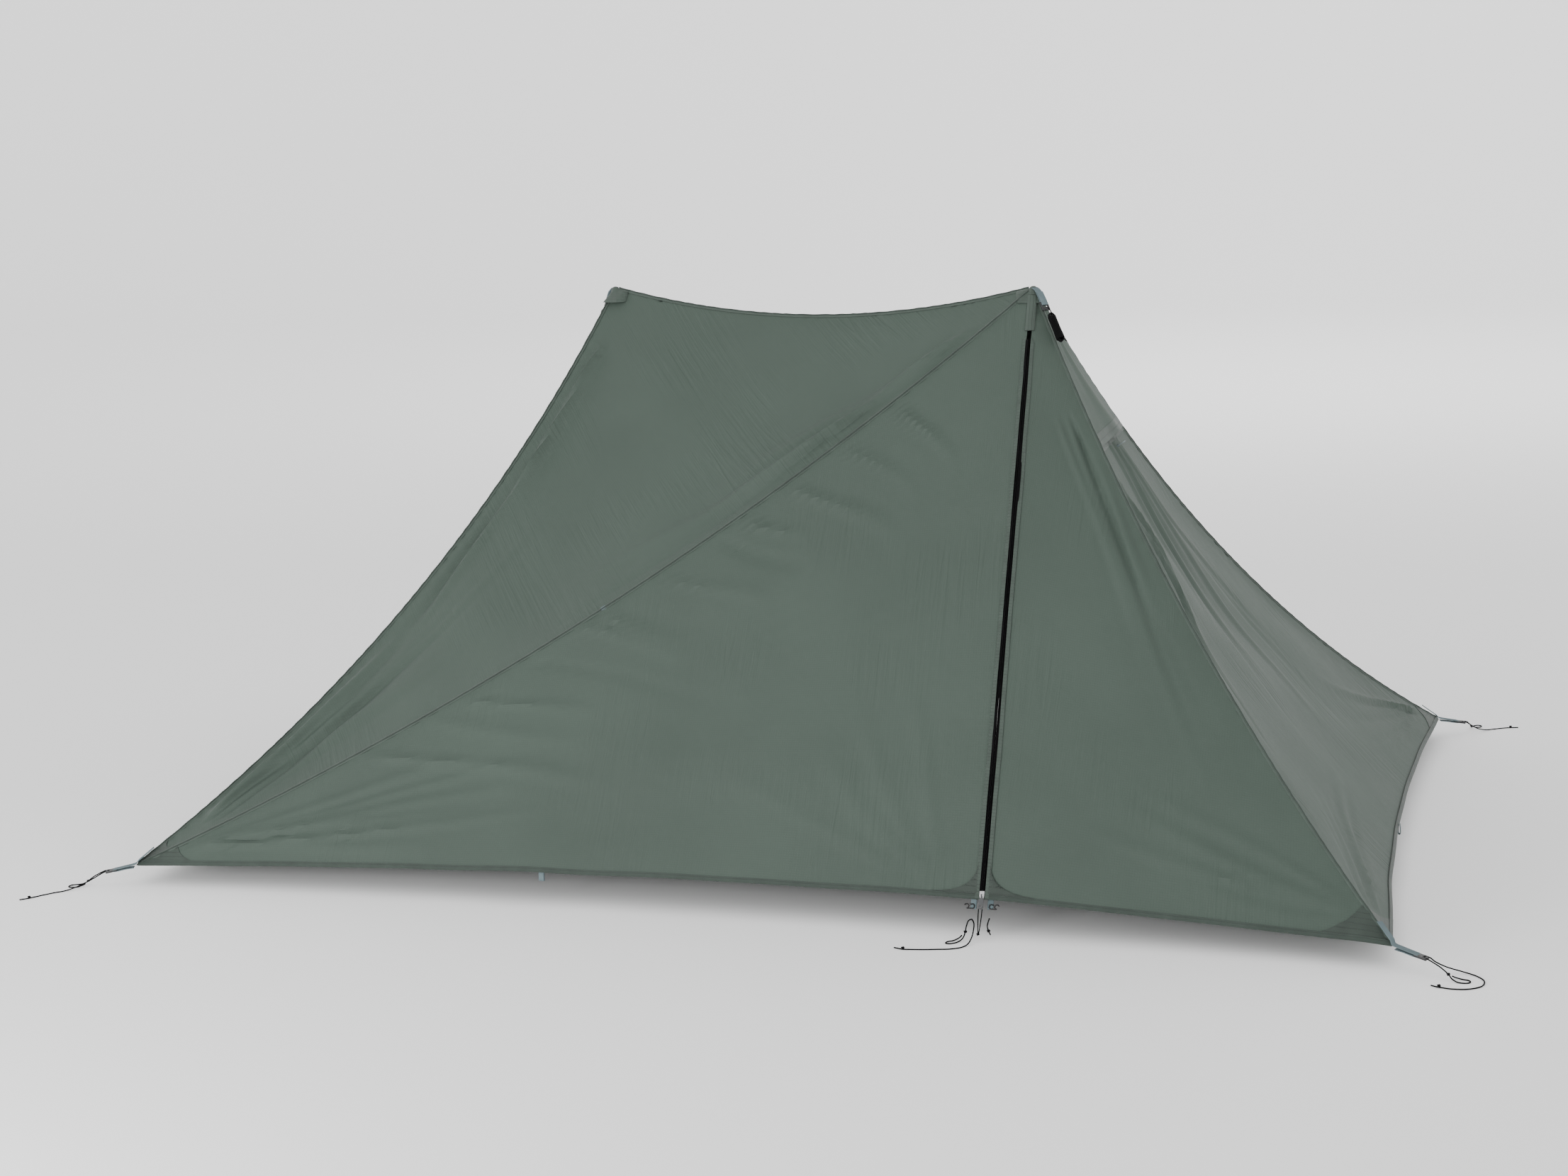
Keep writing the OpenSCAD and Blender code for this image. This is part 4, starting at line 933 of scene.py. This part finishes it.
def hank_path():
    """The peak line wound for storage: long turns first, then wraps round their middle."""
    first, last = HANK_START + 0.010, HANK_START + HANK_L - 0.010
    path = [[0.0, -0.0005, HANK_START - 0.004], [0.003, 0.0, HANK_START + 0.004]]
    r = FOLD_R
    for k in range(HANK_FOLDS):
        lay = -0.0026 + 0.0026 * k
        for z, flip in ((last - 0.006, 1), (first + 0.006, -1)):
            for f in np.linspace(0.15, 0.85, 12):
                path.append([flip * r, lay, mix(first, last, f if flip == 1 else 1 - f)])
            for a in np.linspace(0, math.pi, 7):
                path.append([flip * r * math.cos(a), lay, z + flip * r * math.sin(a)])
    path += [[0.0060, 0.0034, first + 0.008], [0.0050, 0.0056, first + 0.0125],
             [0.0, 0.0066, first + 0.012], [-0.0056, 0.0048, first + 0.010],
             [-0.0083, 0.0, first + 0.009], [-0.0050, -0.0052, first + 0.0085],
             [0.0, -0.0062, first + 0.0083], [0.0056, -0.0045, first + 0.0081]]
    for k in range(WRAPS * WRAP_STEPS + 1):
        a = 2 * math.pi * k / WRAP_STEPS
        z = first + 0.008 + (HANK_L - 0.034) * k / (WRAPS * WRAP_STEPS)
        swell = 1 + 0.10 * smooth((z - last + 0.030) / 0.02)
        path.append([WRAP_W * math.cos(a) * swell, WRAP_T * math.sin(a) * swell, z])
    path += [[0.0088, 0.002, last - 0.002], [0.0086, 0.0045, last + 0.003]]
    smoothed = spline(path, 2)
    # evened out and eased, so that no bend is a kink
    far = lengths(smoothed)
    even = np.linspace(0, far[-1], int(far[-1] / 0.0012))
    smoothed = np.stack([np.interp(even, far, smoothed[:, k]) for k in range(3)], axis=1)
    for _ in range(5):
        smoothed[1:-1] = 0.25 * smoothed[:-2] + 0.5 * smoothed[1:-1] + 0.25 * smoothed[2:]
    smoothed[:, 1] += HANK_LIFT
    return smoothed


def peak_hanks():
    for turn, end in ENDS:
        path = by_seam(hank_path(), turn)
        cord_piece(f"peak_line_{end}", path, "canopy", [f"peak_hank_{end}"], path[0],
                   sides_n=8)


corner_lines()
door_lines()
pull_cords()
peak_hanks()


# ---- the fly's cloth ----

def fold_line(turn, kind):
    """Where a door folds back: from 20 mm before its fold line to 90 mm past it."""
    p = FLY_PANELS[turn][kind]
    near, foot = (0, 1) if kind == "wide" else (1, 0)
    low = p.bare(p.along(near, foot, FOLD_HEM))
    top = p.bare(p.along(2, foot, ZIP_TOP))
    way = p.corners[foot] - low
    run = unit(top - low)
    way = unit(way - run * (way @ run))
    middle = mix(low, top, 0.5)
    return (middle - way * 0.020).tolist(), (middle + way * 0.090).tolist()


def static_cloth():
    """Both roofs and both end walls: one sheet that the seams hold together."""
    parts = []
    for turn in (False, True):
        roof, wall = FLY_PANELS[turn]["roof"], FLY_PANELS[turn]["wall"]
        e = np.eye(3)
        parts.append((cloth(roof, [e[0], mix(e[0], e[1], 0.002), e[1], e[2]], 90, 150), 0))
        vent_b, vent_c = wall.along(2, 0, VENT_L), wall.along(2, 1, VENT_L)
        parts.append((cloth(wall, [e[0], e[1], vent_c, vent_b], 110, 90), 0))
    thing = piece("fly_roofs_and_end_walls", parts, [FLY], "canopy",
                  ["roof_front", "roof_rear", "end_wall_right", "end_wall_left"], merge=1e-5)
    return thing


def door(turn, kind):
    """A whole door panel, from its corner seam to the zip, with binding and plackets."""
    p = FLY_PANELS[turn][kind]
    end = "rear" if turn else "front"
    e = np.eye(3)
    near, foot = (0, 1) if kind == "wide" else (1, 0)
    gap = 0.0058
    low = p.off_edge(e[foot], near, gap)
    top = p.off_edge(e[2], near, gap)
    quad = [e[0], low, top, mix(e[2], e[0], 0.002)] if kind == "wide" \
        else [low, e[1], mix(e[2], e[1], 0.002), top]
    nu, nv = (130, 110) if kind == "wide" else (64, 110)
    parts = [(cloth(p, quad, nu, nv), 0)]
    reach = float(np.linalg.norm(p.corners[foot] - p.corners[near]))
    trim = 0.004 / reach
    parts.append((binding_part(p, 0, 1, 90 if kind == "wide" else 44, trim, 1 - trim), 1))
    # plackets beside the zip, of doubled cloth
    strip_in, strip_w = 0.0060, 0.0080
    edge_low = p.off_edge(p.off_edge(e[foot], 2, 0.001), near, strip_in)
    edge_top = p.off_edge(p.along(2, foot, ZIP_TOP - 0.004), near, strip_in)
    inner_low = p.off_edge(edge_low, near, strip_w)
    inner_top = p.off_edge(edge_top, near, strip_w)
    for part in pad(p, [edge_low, inner_low, inner_top, edge_top], 4, 150, 0.0006, 0.0014):
        parts.append((part, 3))
    # reinforcement at the zip's foot
    wing, high = 0.088, 0.072
    q = [p.off_edge(p.off_edge(e[foot], 2, HEM_W), near, 0.012),
         p.off_edge(p.along(foot, near, wing + 0.012), 2, HEM_W),
         p.off_edge(p.off_edge(p.along(foot, near, 0.016), 2, HEM_W + 0.005), near, 0.0),
         p.off_edge(p.along(foot, 2, high), near, 0.012)]
    for part in pad(p, q, 8, 8, 0.0010, 0.0012):
        parts.append((part, 2))
    for part in corner_patch(p, near, foot):
        parts.append((part, 2))
    stands = [f"door_{kind}_{end}", f"hem_{kind}_{end}", f"door_surrounds_{end}"]
    thing = piece(f"{kind}_door_{end}", parts, [FLY, BOUND, PATCH, PLACKET], None, stands)
    start, stop = fold_line(turn, kind)
    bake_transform(thing)


def seams():
    corner, ridge = [], []
    n = 200
    for turn in (False, True):
        p, other = FLY_PANELS[turn], FLY_PANELS[not turn]
        wide, narrow, wall, roof = p["wide"], p["narrow"], p["wall"], p["roof"]
        tip = 0.006
        runs = [(wide, 0, 2, roof, 0, 1), (narrow, 1, 2, wall, 0, 2), (wall, 1, 2, other["roof"], 0, 2)]
        for one, i, j, two, k, m in runs:
            curve = one.bare(edge_weights(i, j, n, tip, 1 - tip))
            pair = ((inward(one, i, j), one.out), (inward(two, k, m), two.out))
            corner += [(part, paint) for paint, part in enumerate(seam_parts(pair, curve))]
    roof, back = FLY_PANELS[False]["roof"], FLY_PANELS[True]["roof"]
    curve = roof.bare(edge_weights(1, 2, 110, 0.010, 0.990))
    pair = ((inward(roof, 1, 2), roof.out), (inward(back, 1, 2), back.out))
    ridge += [(part, paint) for paint, part in enumerate(seam_parts(pair, curve))]
    piece("corner_seams_sewn", corner, [FELL, BOUND], "canopy", ["corner_seams"], crisp=50)
    piece("ridge_seam_sewn", ridge, [FELL, BOUND], "canopy", ["ridge_seam"], crisp=50)


def hems_and_patches():
    hems, patches = [], []
    for turn in (False, True):
        p = FLY_PANELS[turn]
        hems.append((binding_part(p["wall"], 0, 1, 90, 0.004, 0.996), 0))
        for i, j in ((0, 1), (1, 0)):
            patches += [(part, 0) for part in corner_patch(p["wall"], i, j)]
        roof = p["roof"]
        patches += [(part, 0) for part in corner_patch(roof, 0, 1, 0.085, 0.085)]
    piece("end_hem_bindings", hems, [BOUND], "canopy", ["end_hems"], crisp=50)
    piece("end_corner_patches", patches, [PATCH], "canopy", ["corner_patches"])


def peak_caps():
    """Doubled cloth over each pole's tip, gathered in small pleats."""
    profile = np.array([[0.0, 0.0026], [0.003, 0.0024], [0.006, 0.0010], [0.0090, -0.003], [0.0110, -0.008],
                        [0.0138, -0.014], [0.0165, -0.021], [0.0200, -0.030], [0.0205, -0.0306],
                        [0.0200, -0.0312]])
    parts = []
    for turn in (False, True):
        go = sides(turn)
        panels = FLY_PANELS[turn]
        outs = [panels[k].out for k in ("wide", "narrow", "wall", "roof")]
        outs.append(FLY_PANELS[not turn]["roof"].out)
        peak = go(P1)
        around = 60
        rows = []
        for r, z in profile:
            row = []
            for a in np.linspace(0, 2 * math.pi, around, endpoint=False):
                d = np.array([math.cos(a), math.sin(a)])
                if z > -0.007:
                    spot = peak + [d[0] * r, d[1] * r, z]
                else:
                    # below the tip the cap lies on the panels
                    drop = -z
                    low = min([drop * o[2] / (o[:2] @ d) for o in outs if o[:2] @ d > 0.05] + [1.0])
                    reach = max(0.0085, min(low, 0.034)) + 0.0020 + 0.0003 * math.sin(9 * a)
                    spot = peak + [d[0] * reach, d[1] * reach, z]
                row.append(spot)
            rows.append(row)
        uv = grid_uv(lengths(profile), np.linspace(0, 0.10, around + 1))[..., ::-1]
        parts.append((skin(np.array(rows), uv, wrap=True), 0))
    piece("peak_caps_sewn", parts, [FELL], "canopy", ["peak_caps"], crisp=60)


HOOD_LAP = 0.014       # the hood's hem hangs a little past the vent


def vents():
    for turn, side in ((False, "right"), (True, "left")):
        wall = FLY_PANELS[turn]["wall"]
        a, b = wall.along(2, 0, HOOD_L + HOOD_LAP), wall.along(2, 1, HOOD_L + HOOD_LAP)
        top_a, top_b = wall.along(2, 0, 0.020), wall.along(2, 1, 0.020)
        nu, nv = 56, 50
        s, t = np.meshgrid(np.linspace(0, 1, nu + 1), np.linspace(0, 1, nv + 1))
        w = mix(mix(a, b, s[..., None]), mix(top_a, top_b, s[..., None]), t[..., None])
        crease = 0.0022 * np.sin(s * 19 + 1.5 * t) * (1 - t) * np.sin(math.pi * s) \
            + 0.0016 * np.sin(s * 33 + 4 * t + wall.seed) * np.sin(math.pi * s) * t
        lift = 0.0030 + HOOD_RISE * np.sin(math.pi * s) ** 1.7 * (1 - t) ** 1.5 + crease
        top = wall.bare(w) + wall.out * lift[..., None]
        uv = wall.flat(w)
        parts = [(skin(top, uv), 0)]
        rim = np.concatenate([top[:1] - wall.out * 0.0022, top[:1] + wall.out * 0.0006,
                              top[4:5] + wall.out * 0.0006, top[4:5] - wall.out * 0.0016])
        rim_uv = grid_uv(np.linspace(0, 0.35, nu + 2), [0.0, 0.002, 0.011, 0.012, 0.012])
        parts.append((skin(rim.transpose(1, 0, 2), rim_uv, wrap=True), 1))
        hood = piece(f"vent_hood_cloth_{side}", parts, [HOOD, FELL], "canopy", [f"vent_hood_{side}"],
                     crisp=60)
        low_a, low_b, high_a, high_b = (wall.bare(w) for w in (a, b, top_a, top_b))
        middle = (low_a + low_b) / 2
        # the wall's own slope under the hood, steeper than the whole panel's
        flat_way = unit(np.cross(low_b - low_a, (high_a + high_b) / 2 - middle))
        flat_way = flat_way * np.sign(flat_way @ wall.out)
        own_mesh(hood)
        net = [wall.off_edge(wall.along(2, 0, VENT_L + 0.004), 1, 0.002),
               wall.off_edge(wall.along(2, 1, VENT_L + 0.004), 0, 0.002),
               wall.along(2, 1, 0.026), wall.along(2, 0, 0.026)]
        mesh_net = piece(f"vent_netting_{side}", [(cloth(wall, net, 30, 30, -0.0015), 0)], [NET], "canopy",
                         ["vent_meshes"])
        sill = [wall.off_edge(wall.along(2, 0, VENT_L + 0.006), 1, 0.004),
                wall.off_edge(wall.along(2, 1, VENT_L + 0.006), 0, 0.004),
                wall.off_edge(wall.along(2, 1, VENT_L - 0.006), 0, 0.004),
                wall.off_edge(wall.along(2, 0, VENT_L - 0.006), 1, 0.004)]
        piece(f"vent_sill_{side}", [(part, 0) for part in pad(wall, sill, 40, 2, 0.0004, 0.0014)], [FELL],
              "canopy", ["vent_meshes"])


# ---- webbing ----

LOOP_L, LOOP_W, TAPE_T = 0.0165, 0.011, 0.0011      # small loops of narrow webbing


def band(path, ups, w=WEB_W, t=WEB_T):
    return sweep(path, flat_band(w, t), ups)


def facing(path, side):
    """The way that webbing faces at each point of its path. side is the way across it."""
    return np.array([unit(np.cross(side, unit(k))) for k in np.gradient(path, axis=0)])


def at_corner(i, v):
    a = math.radians(LINE_ANGLES[i])
    c, s = math.cos(a), math.sin(a)
    v = np.asarray(v, float)
    x, y, z = v[..., 0], v[..., 1], v[..., 2]
    return CORNERS[i] + np.stack([c * x - s * y, s * x + c * y, z], axis=-1)


def seam_way(i):
    """Which way the webbing runs up from a hem corner, and the way that it faces there."""
    turn = i in (2, 3)
    p = FLY_PANELS[turn]
    if i in (0, 2):
        roof = p["roof"]
        return unit(roof.corners[1] * 0.5 + roof.corners[2] * 0.5 - roof.corners[0]), roof.out
    narrow, wall = p["narrow"], p["wall"]
    return unit(narrow.bare(narrow.along(1, 2, 0.2)) - narrow.corners[1]), unit(narrow.out + wall.out)


def corner_webbing():
    parts = []
    for i in range(4):
        up_way, out_way = seam_way(i)
        # over the corner patch, round the corner, out to the adjuster's bar and back under
        head = at_corner(i, np.array([[0.0, 0.0, 0.004], [0.012, 0.0, 0.0008], [0.028, 0, -0.0025]]))
        over = np.array([CORNERS[i] + up_way * k + out_way * 0.0062 for k in (0.052, 0.040, 0.026, 0.012)])
        turn_round = at_corner(i, np.array([[0.042, 0, -0.0052], [0.0465, 0, -0.0064],
                                            [0.0478, 0, -0.0082], [0.0455, 0, -0.0098], [0.036, 0, -0.0085],
                                            [0.018, 0, -0.0052], [0.004, 0, -0.0035]]))
        path = spline(np.vstack([over, head, turn_round]), 5)
        across = unit(np.cross(at_corner(i, np.array([1.0, 0, 0])) - CORNERS[i], [0, 0, 1]))
        parts.append((band(path, facing(path, across)), 0))
    for turn in (False, True):
        wall, roof, wide = (FLY_PANELS[turn][kind] for kind in ("wall", "roof", "wide"))
        off_seam = unit(fall(roof.corners[0], roof.corners[1]) + wide.out * 0.35)
        parts.append((small_loop(wall.bare(np.array([0.55, 0.45, 0])), DOWN, wall.out), 0))
        parts.append((small_loop(roof.bare(np.array([0.5, 0.5, 0])), off_seam, wide.out), 0))
    strut_ears(parts)
    piece("webbing_sewn", parts, [WEBBING], "canopy", ["webbing_loops"], crisp=60)


def small_loop(at, way, face):
    """Folded loop of narrow webbing: down, round and back up."""
    a = np.linspace(-0.5 * math.pi, 0.5 * math.pi, 13)
    off = unit(face - way * (face @ way))
    r = 0.0023
    low = [at + way * (LOOP_L - r + r * math.cos(k)) + off * (r * math.sin(k)) for k in a]
    path = np.array([at - way * 0.004 - off * 0.0012, at + way * 0.004 - off * 0.0018] + low
                    + [at + way * 0.004 + off * 0.0018, at - way * 0.004 + off * 0.0012])
    return band(path, facing(path, unit(np.cross(way, off))), LOOP_W, TAPE_T)


def hem_loops():
    """A small loop at the middle of each wide door's hem."""
    for turn, end in ENDS:
        wide = FLY_PANELS[turn]["wide"]
        at = wide.bare(np.array([0.5, 0.5, 0.0]))
        piece(f"hem_loop_{end}", [(small_loop(at, DOWN, wide.out), 0)], [WEBBING],
              f"door_wide_{end}", [f"hem_wide_{end}"], crisp=60)


STRUT_W, STRUT_EAR = 0.012, 0.002
WALL_OUT = WALL.out
STRUT_FOOT = WALL.bare(mix(WALL.along(2, 0, VENT_L), WALL.along(2, 1, VENT_L), 0.5)
                       + np.array([0.008, 0.008, -0.016])) + WALL_OUT * 0.0024


def strut_ears(parts):
    up_wall = unit(np.cross(WALL_OUT, [0, 1, 0]))
    for turn in (False, True):
        for s in (-1, 1):
            y = s * (STRUT_W / 2 + 0.0003 + STRUT_EAR / 2)
            a = np.linspace(0, 2 * math.pi, 24, endpoint=False)
            # rounded lug round the pin
            x = np.clip(0.0030 * np.cos(a), -0.0024, 0.0024)
            z = np.where(np.sin(a) < 0, 0.0042 * np.sin(a), 0.0024 * np.sin(a))
            rows = [[STRUT_FOOT + [0, y + e, 0] + up_wall * px * k + WALL_OUT * pz * k
                     for px, pz in zip(x, z)]
                    for e, k in ((-0.0010, 0.9), (-0.0007, 1.0), (0.0007, 1.0), (0.0010, 0.9))]
            uv = grid_uv(np.arange(4) * 0.001, np.linspace(0, 0.02, 25))
            parts.append((turned(skin(np.array(rows), uv, wrap=True, caps=True), turn), 0))


def peak_webbing():
    band_parts, buckle_parts = [], []
    for turn in (False, True):
        lift = HANK_LIFT - 0.009
        path = spline(np.array([[0, lift - 0.007, 0.004], [0, lift - 0.001, 0.014], [0, lift + 0.0006, 0.030],
                                [0, lift + 0.0009, 0.046], [0, lift + 0.0030, 0.0515],
                                [0, lift + 0.0046, 0.047],
                                [0, lift + 0.0040, 0.032], [0, lift + 0.0030, 0.020]]), 6)
        points, faces, uv = band(path, facing(path, [1.0, 0, 0]))
        band_parts.append(((by_seam(points, turn), faces, uv), 0))
        xs = [-0.009, -0.0062, 0.0062, 0.009]
        ys = [0.0, 0.0030, 0.0062, 0.0085, 0.0125, 0.0155, 0.0200]
        place = lambda v, t=turn: by_seam(np.stack([v[:, 0], v[:, 2] + lift + 0.0010, v[:, 1] + 0.044], 1), t)
        buckle_parts.append((barred_plate(xs, ys, {(1, 1), (1, 3)}, 0.0046, place), 0))
    piece("peak_webbing_sewn", band_parts, [WEBBING], "canopy", ["peak_webbings"], crisp=60)
    piece("peak_buckles", buckle_parts, [PLASTIC], "canopy", ["peak_webbings"], crisp=35)


def line_adjusters():
    parts = []
    tilt = math.atan2(WEB_FALL, WEB_OUT)
    c, s = math.cos(tilt), math.sin(tilt)
    for i in range(4):
        xs = [0.040, 0.0424, 0.0456, 0.0500, 0.0560, 0.0596, 0.064]
        ys = [-0.0075, -0.0052, 0.0052, 0.0075]
        place = lambda v, k=i: at_corner(k, np.stack([c * v[:, 0] + s * v[:, 2], v[:, 1],
                                                      -s * v[:, 0] + c * v[:, 2]], 1))
        parts.append((barred_plate(xs, ys, {(1, 1), (4, 1)}, 0.0048, place), 0))
    piece("line_adjusters_moulded", parts, [PLASTIC], "canopy", ["line_adjusters"], crisp=35)


# ---- zips ----

TAPE_START, TAPE_END = 0.017, ZIP_L - ZIP_TOP - 0.010
ZIP_PART = 0.0003      # from the zip's middle to the edge of a half
CLOTH_T = 0.003


def zips():
    for turn, end in ENDS:
        for s, kind in ((1, "wide"), (-1, "narrow")):
            z = np.linspace(TAPE_START, TAPE_END, 120)
            tape = np.array([[0, 0.0011], [0.0055, 0.0011], [0.0064, 0.0005], [0.0055, 0], [0, 0]])
            coil = np.array([[0, 0], [0.0026, 0], [0.0026, 0.0009], [0.0021, 0.0019], [0.0013, 0.0022],
                             [0.0005, 0.0019], [0, 0.0011]])
            parts = []
            for shape, y in ((tape, -CLOTH_T / 2), (coil, 0.0009 - CLOTH_T / 2)):
                rows = np.array([[[s * (ZIP_PART + px), y + py, k] for px, py in shape] for k in z])
                uv = grid_uv(z, np.linspace(0, 0.01, len(shape) + 1))
                points, faces, corners = skin(rows, uv, wrap=True, caps=True)
                parts.append(((at_zip(points, turn), faces, corners), 0))
            piece(f"zip_teeth_{kind}_{end}", parts, [ZIP], f"door_{kind}_{end}", [f"zip_{kind}_{end}"],
                  crisp=50)


def zip_tops():
    """A cloth tab over the end of each zip, up to the peak."""
    parts = []
    for turn in (False, True):
        z = np.linspace(ZIP_L - ZIP_TOP + 0.010, ZIP_L - 0.020, 26)
        half = np.array([0.0095, 0.0080, 0.003, 0.0, -0.003, -0.0080, -0.0095])
        rise = np.array([0.0004, 0.0016, 0.0022, 0.0023, 0.0022, 0.0016, 0.0004])
        rows = []
        for k in z:
            rows.append([[x, y + 0.0012, k] for x, y in zip(half, rise)]
                        + [[x, y - 0.0016, k] for x, y in zip(half[::-1], rise[::-1])])
        rows = np.array(rows)
        points, faces, corners = skin(rows, grid_uv(z, np.linspace(0, 0.04, 15)), wrap=True, caps=True)
        parts.append(((at_zip(points, turn), faces, corners), 0))
    piece("zip_top_tabs", parts, [FELL], "canopy", ["door_surrounds_front"])


def door_hooks():
    """At the foot of each flap: a folded webbing tab with a flat plastic hook."""
    for turn, end in ENDS:
        for s, kind in ((1, "wide"), (-1, "narrow")):
            x = s * 0.016
            way = np.array([[x, -0.0038, 0.008], [x, -0.0042, -0.004], [x, -0.0044, -0.0155],
                            [x, -0.0058, -0.0172], [x, -0.0070, -0.0155], [x, -0.0066, -0.004],
                            [x, -0.0060, 0.006]])
            path = spline(way, 5)
            points, faces, uv = band(path, facing(path, [1.0, 0, 0]), LOOP_W, TAPE_T)
            piece(f"door_tab_{kind}_{end}", [((at_zip(points, turn), faces, uv), 0)], [WEBBING],
                  f"door_{kind}_{end}", [f"clip_{kind}_{end}"], crisp=60)
            a = np.linspace(0.15 * math.pi, 1.88 * math.pi, 26)
            eye = np.stack([0.0043 * np.cos(a) + 0.0050, 0.0041 * np.sin(a)], axis=1)
            bar = np.array([[-0.0085, 0.0032], [-0.0095, 0.0012], [-0.0098, -0.0012], [-0.0085, -0.0036]])
            shape = np.vstack([eye[:20], np.linspace([0.004, -0.0042], [-0.0070, -0.0044], 5), bar[::-1],
                               np.linspace([-0.0070, 0.0042], [-0.0012, 0.0036], 4)])
            shape = spline(shape, 2)
            spots = np.stack([x + s * 0.008 + s * shape[:, 0], np.full(len(shape), -0.0033),
                              -0.013 + shape[:, 1]], axis=1)
            place = at_zip(spots, turn)
            part = sweep(place, flat_band(0.0036, 0.0022)[:, ::-1], up=sides(turn)(ZIP_OUT))
            piece(f"door_hook_{kind}_{end}", [(part, 0)], [PLASTIC], f"door_{kind}_{end}",
                  [f"clip_{kind}_{end}"], crisp=45)


# ---- hard parts that keep their modelled shape ----

def dress():
    looks = {"zip_slider": CAST, "zip_pull": TAB, "vent_strut": STRUT, "pole_feet": RUBBER,
             "pole_lower_tubes": TUBE, "pole_clamps": PLASTIC, "pole_upper": TUBE, "pole_tip": RUBBER,
             "clamp_lever": LEVER}
    for name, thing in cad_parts.items():
        for start, paint in looks.items():
            if name.startswith(start):
                thing.data.materials.clear()
                thing.data.materials.append(paint)


static_cloth()
for rear in (False, True):
    for kind in ("wide", "narrow"):
        door(rear, kind)
seams()
hems_and_patches()
peak_caps()
vents()
corner_webbing()
hem_loops()
peak_webbing()
line_adjusters()
zips()
zip_tops()
door_hooks()
dress()


# ---- floor and light ----

FLOOR_NEAR, FLOOR_FAR, FLOOR_SIDE = -60.0, 13.0, 45.0
WALL_BEND, WALL_TOP = 8, 24.0


def studio():
    floor = bpy.data.meshes.new("floor")
    # flat, then curving up into a wall far behind
    side = [(FLOOR_NEAR, 0.0), (FLOOR_FAR, 0.0)]
    side += [(FLOOR_FAR + WALL_BEND * math.sin(a), WALL_BEND * (1 - math.cos(a)))
             for a in np.linspace(0, math.pi / 2, 25)[1:]]
    side.append((FLOOR_FAR + WALL_BEND, WALL_TOP))
    rows = [[(x, y, z) for x in (-FLOOR_SIDE, FLOOR_SIDE)] for y, z in side]
    floor.from_pydata([v for row in rows for v in row], [],
                      [(2 * k, 2 * k + 1, 2 * k + 3, 2 * k + 2) for k in range(len(rows) - 1)])
    for f in floor.polygons:
        f.use_smooth = True
    thing = bpy.data.objects.new("floor", floor)
    bpy.context.collection.objects.link(thing)
    paint = bpy.data.materials.new("pale floor")
    paint.use_nodes = True
    shader = next(n for n in paint.node_tree.nodes if n.type == "BSDF_PRINCIPLED")
    shader.inputs["Base Color"].default_value = (0.93, 0.93, 0.93, 1)
    shader.inputs["Roughness"].default_value = 0.95
    shader.inputs["Specular IOR Level"].default_value = 0.1
    floor.materials.append(paint)
    world = bpy.data.worlds.new("studio")
    world.use_nodes = True
    back = next(n for n in world.node_tree.nodes if n.type == "BACKGROUND")
    back.inputs["Color"].default_value = (1, 1, 1, 1)
    # bright walls round the studio under a dimmer ceiling
    way = world.node_tree.nodes.new("ShaderNodeTexCoord").outputs["Generated"]
    up = node(world.node_tree, "ShaderNodeSeparateXYZ", {0: way}).outputs[2]
    level = node(world.node_tree, "ShaderNodeMapRange", {"Value": up, "From Min": 0.10, "From Max": 0.75,
                                                         "To Min": 2.6, "To Max": 1.1}).outputs[0]
    world.node_tree.links.new(level, back.inputs["Strength"])
    bpy.context.scene.world = world
    for name, place, aim, size, power in (
            ("front light", (-1.4, -3.6, 0.8), (-0.2, -0.6, 0.4), 1.2, 60),
            ("back light", (0.5, 7.5, 6.0), (0, 14.0, 1.0), 6.0, 350)):
        data = bpy.data.lights.new(name, "AREA")
        data.shape, data.size, data.energy = "DISK", size, power
        lamp = bpy.data.objects.new(name, data)
        ahead = unit(np.array(aim) - np.array(place))
        across = unit(np.cross(ahead, [0, 0, 1]))
        over = np.cross(across, ahead)
        lamp.matrix_world = Matrix.Translation(place) @ Matrix((across, over, -ahead)).transposed().to_4x4()
        bpy.context.collection.objects.link(lamp)


studio()
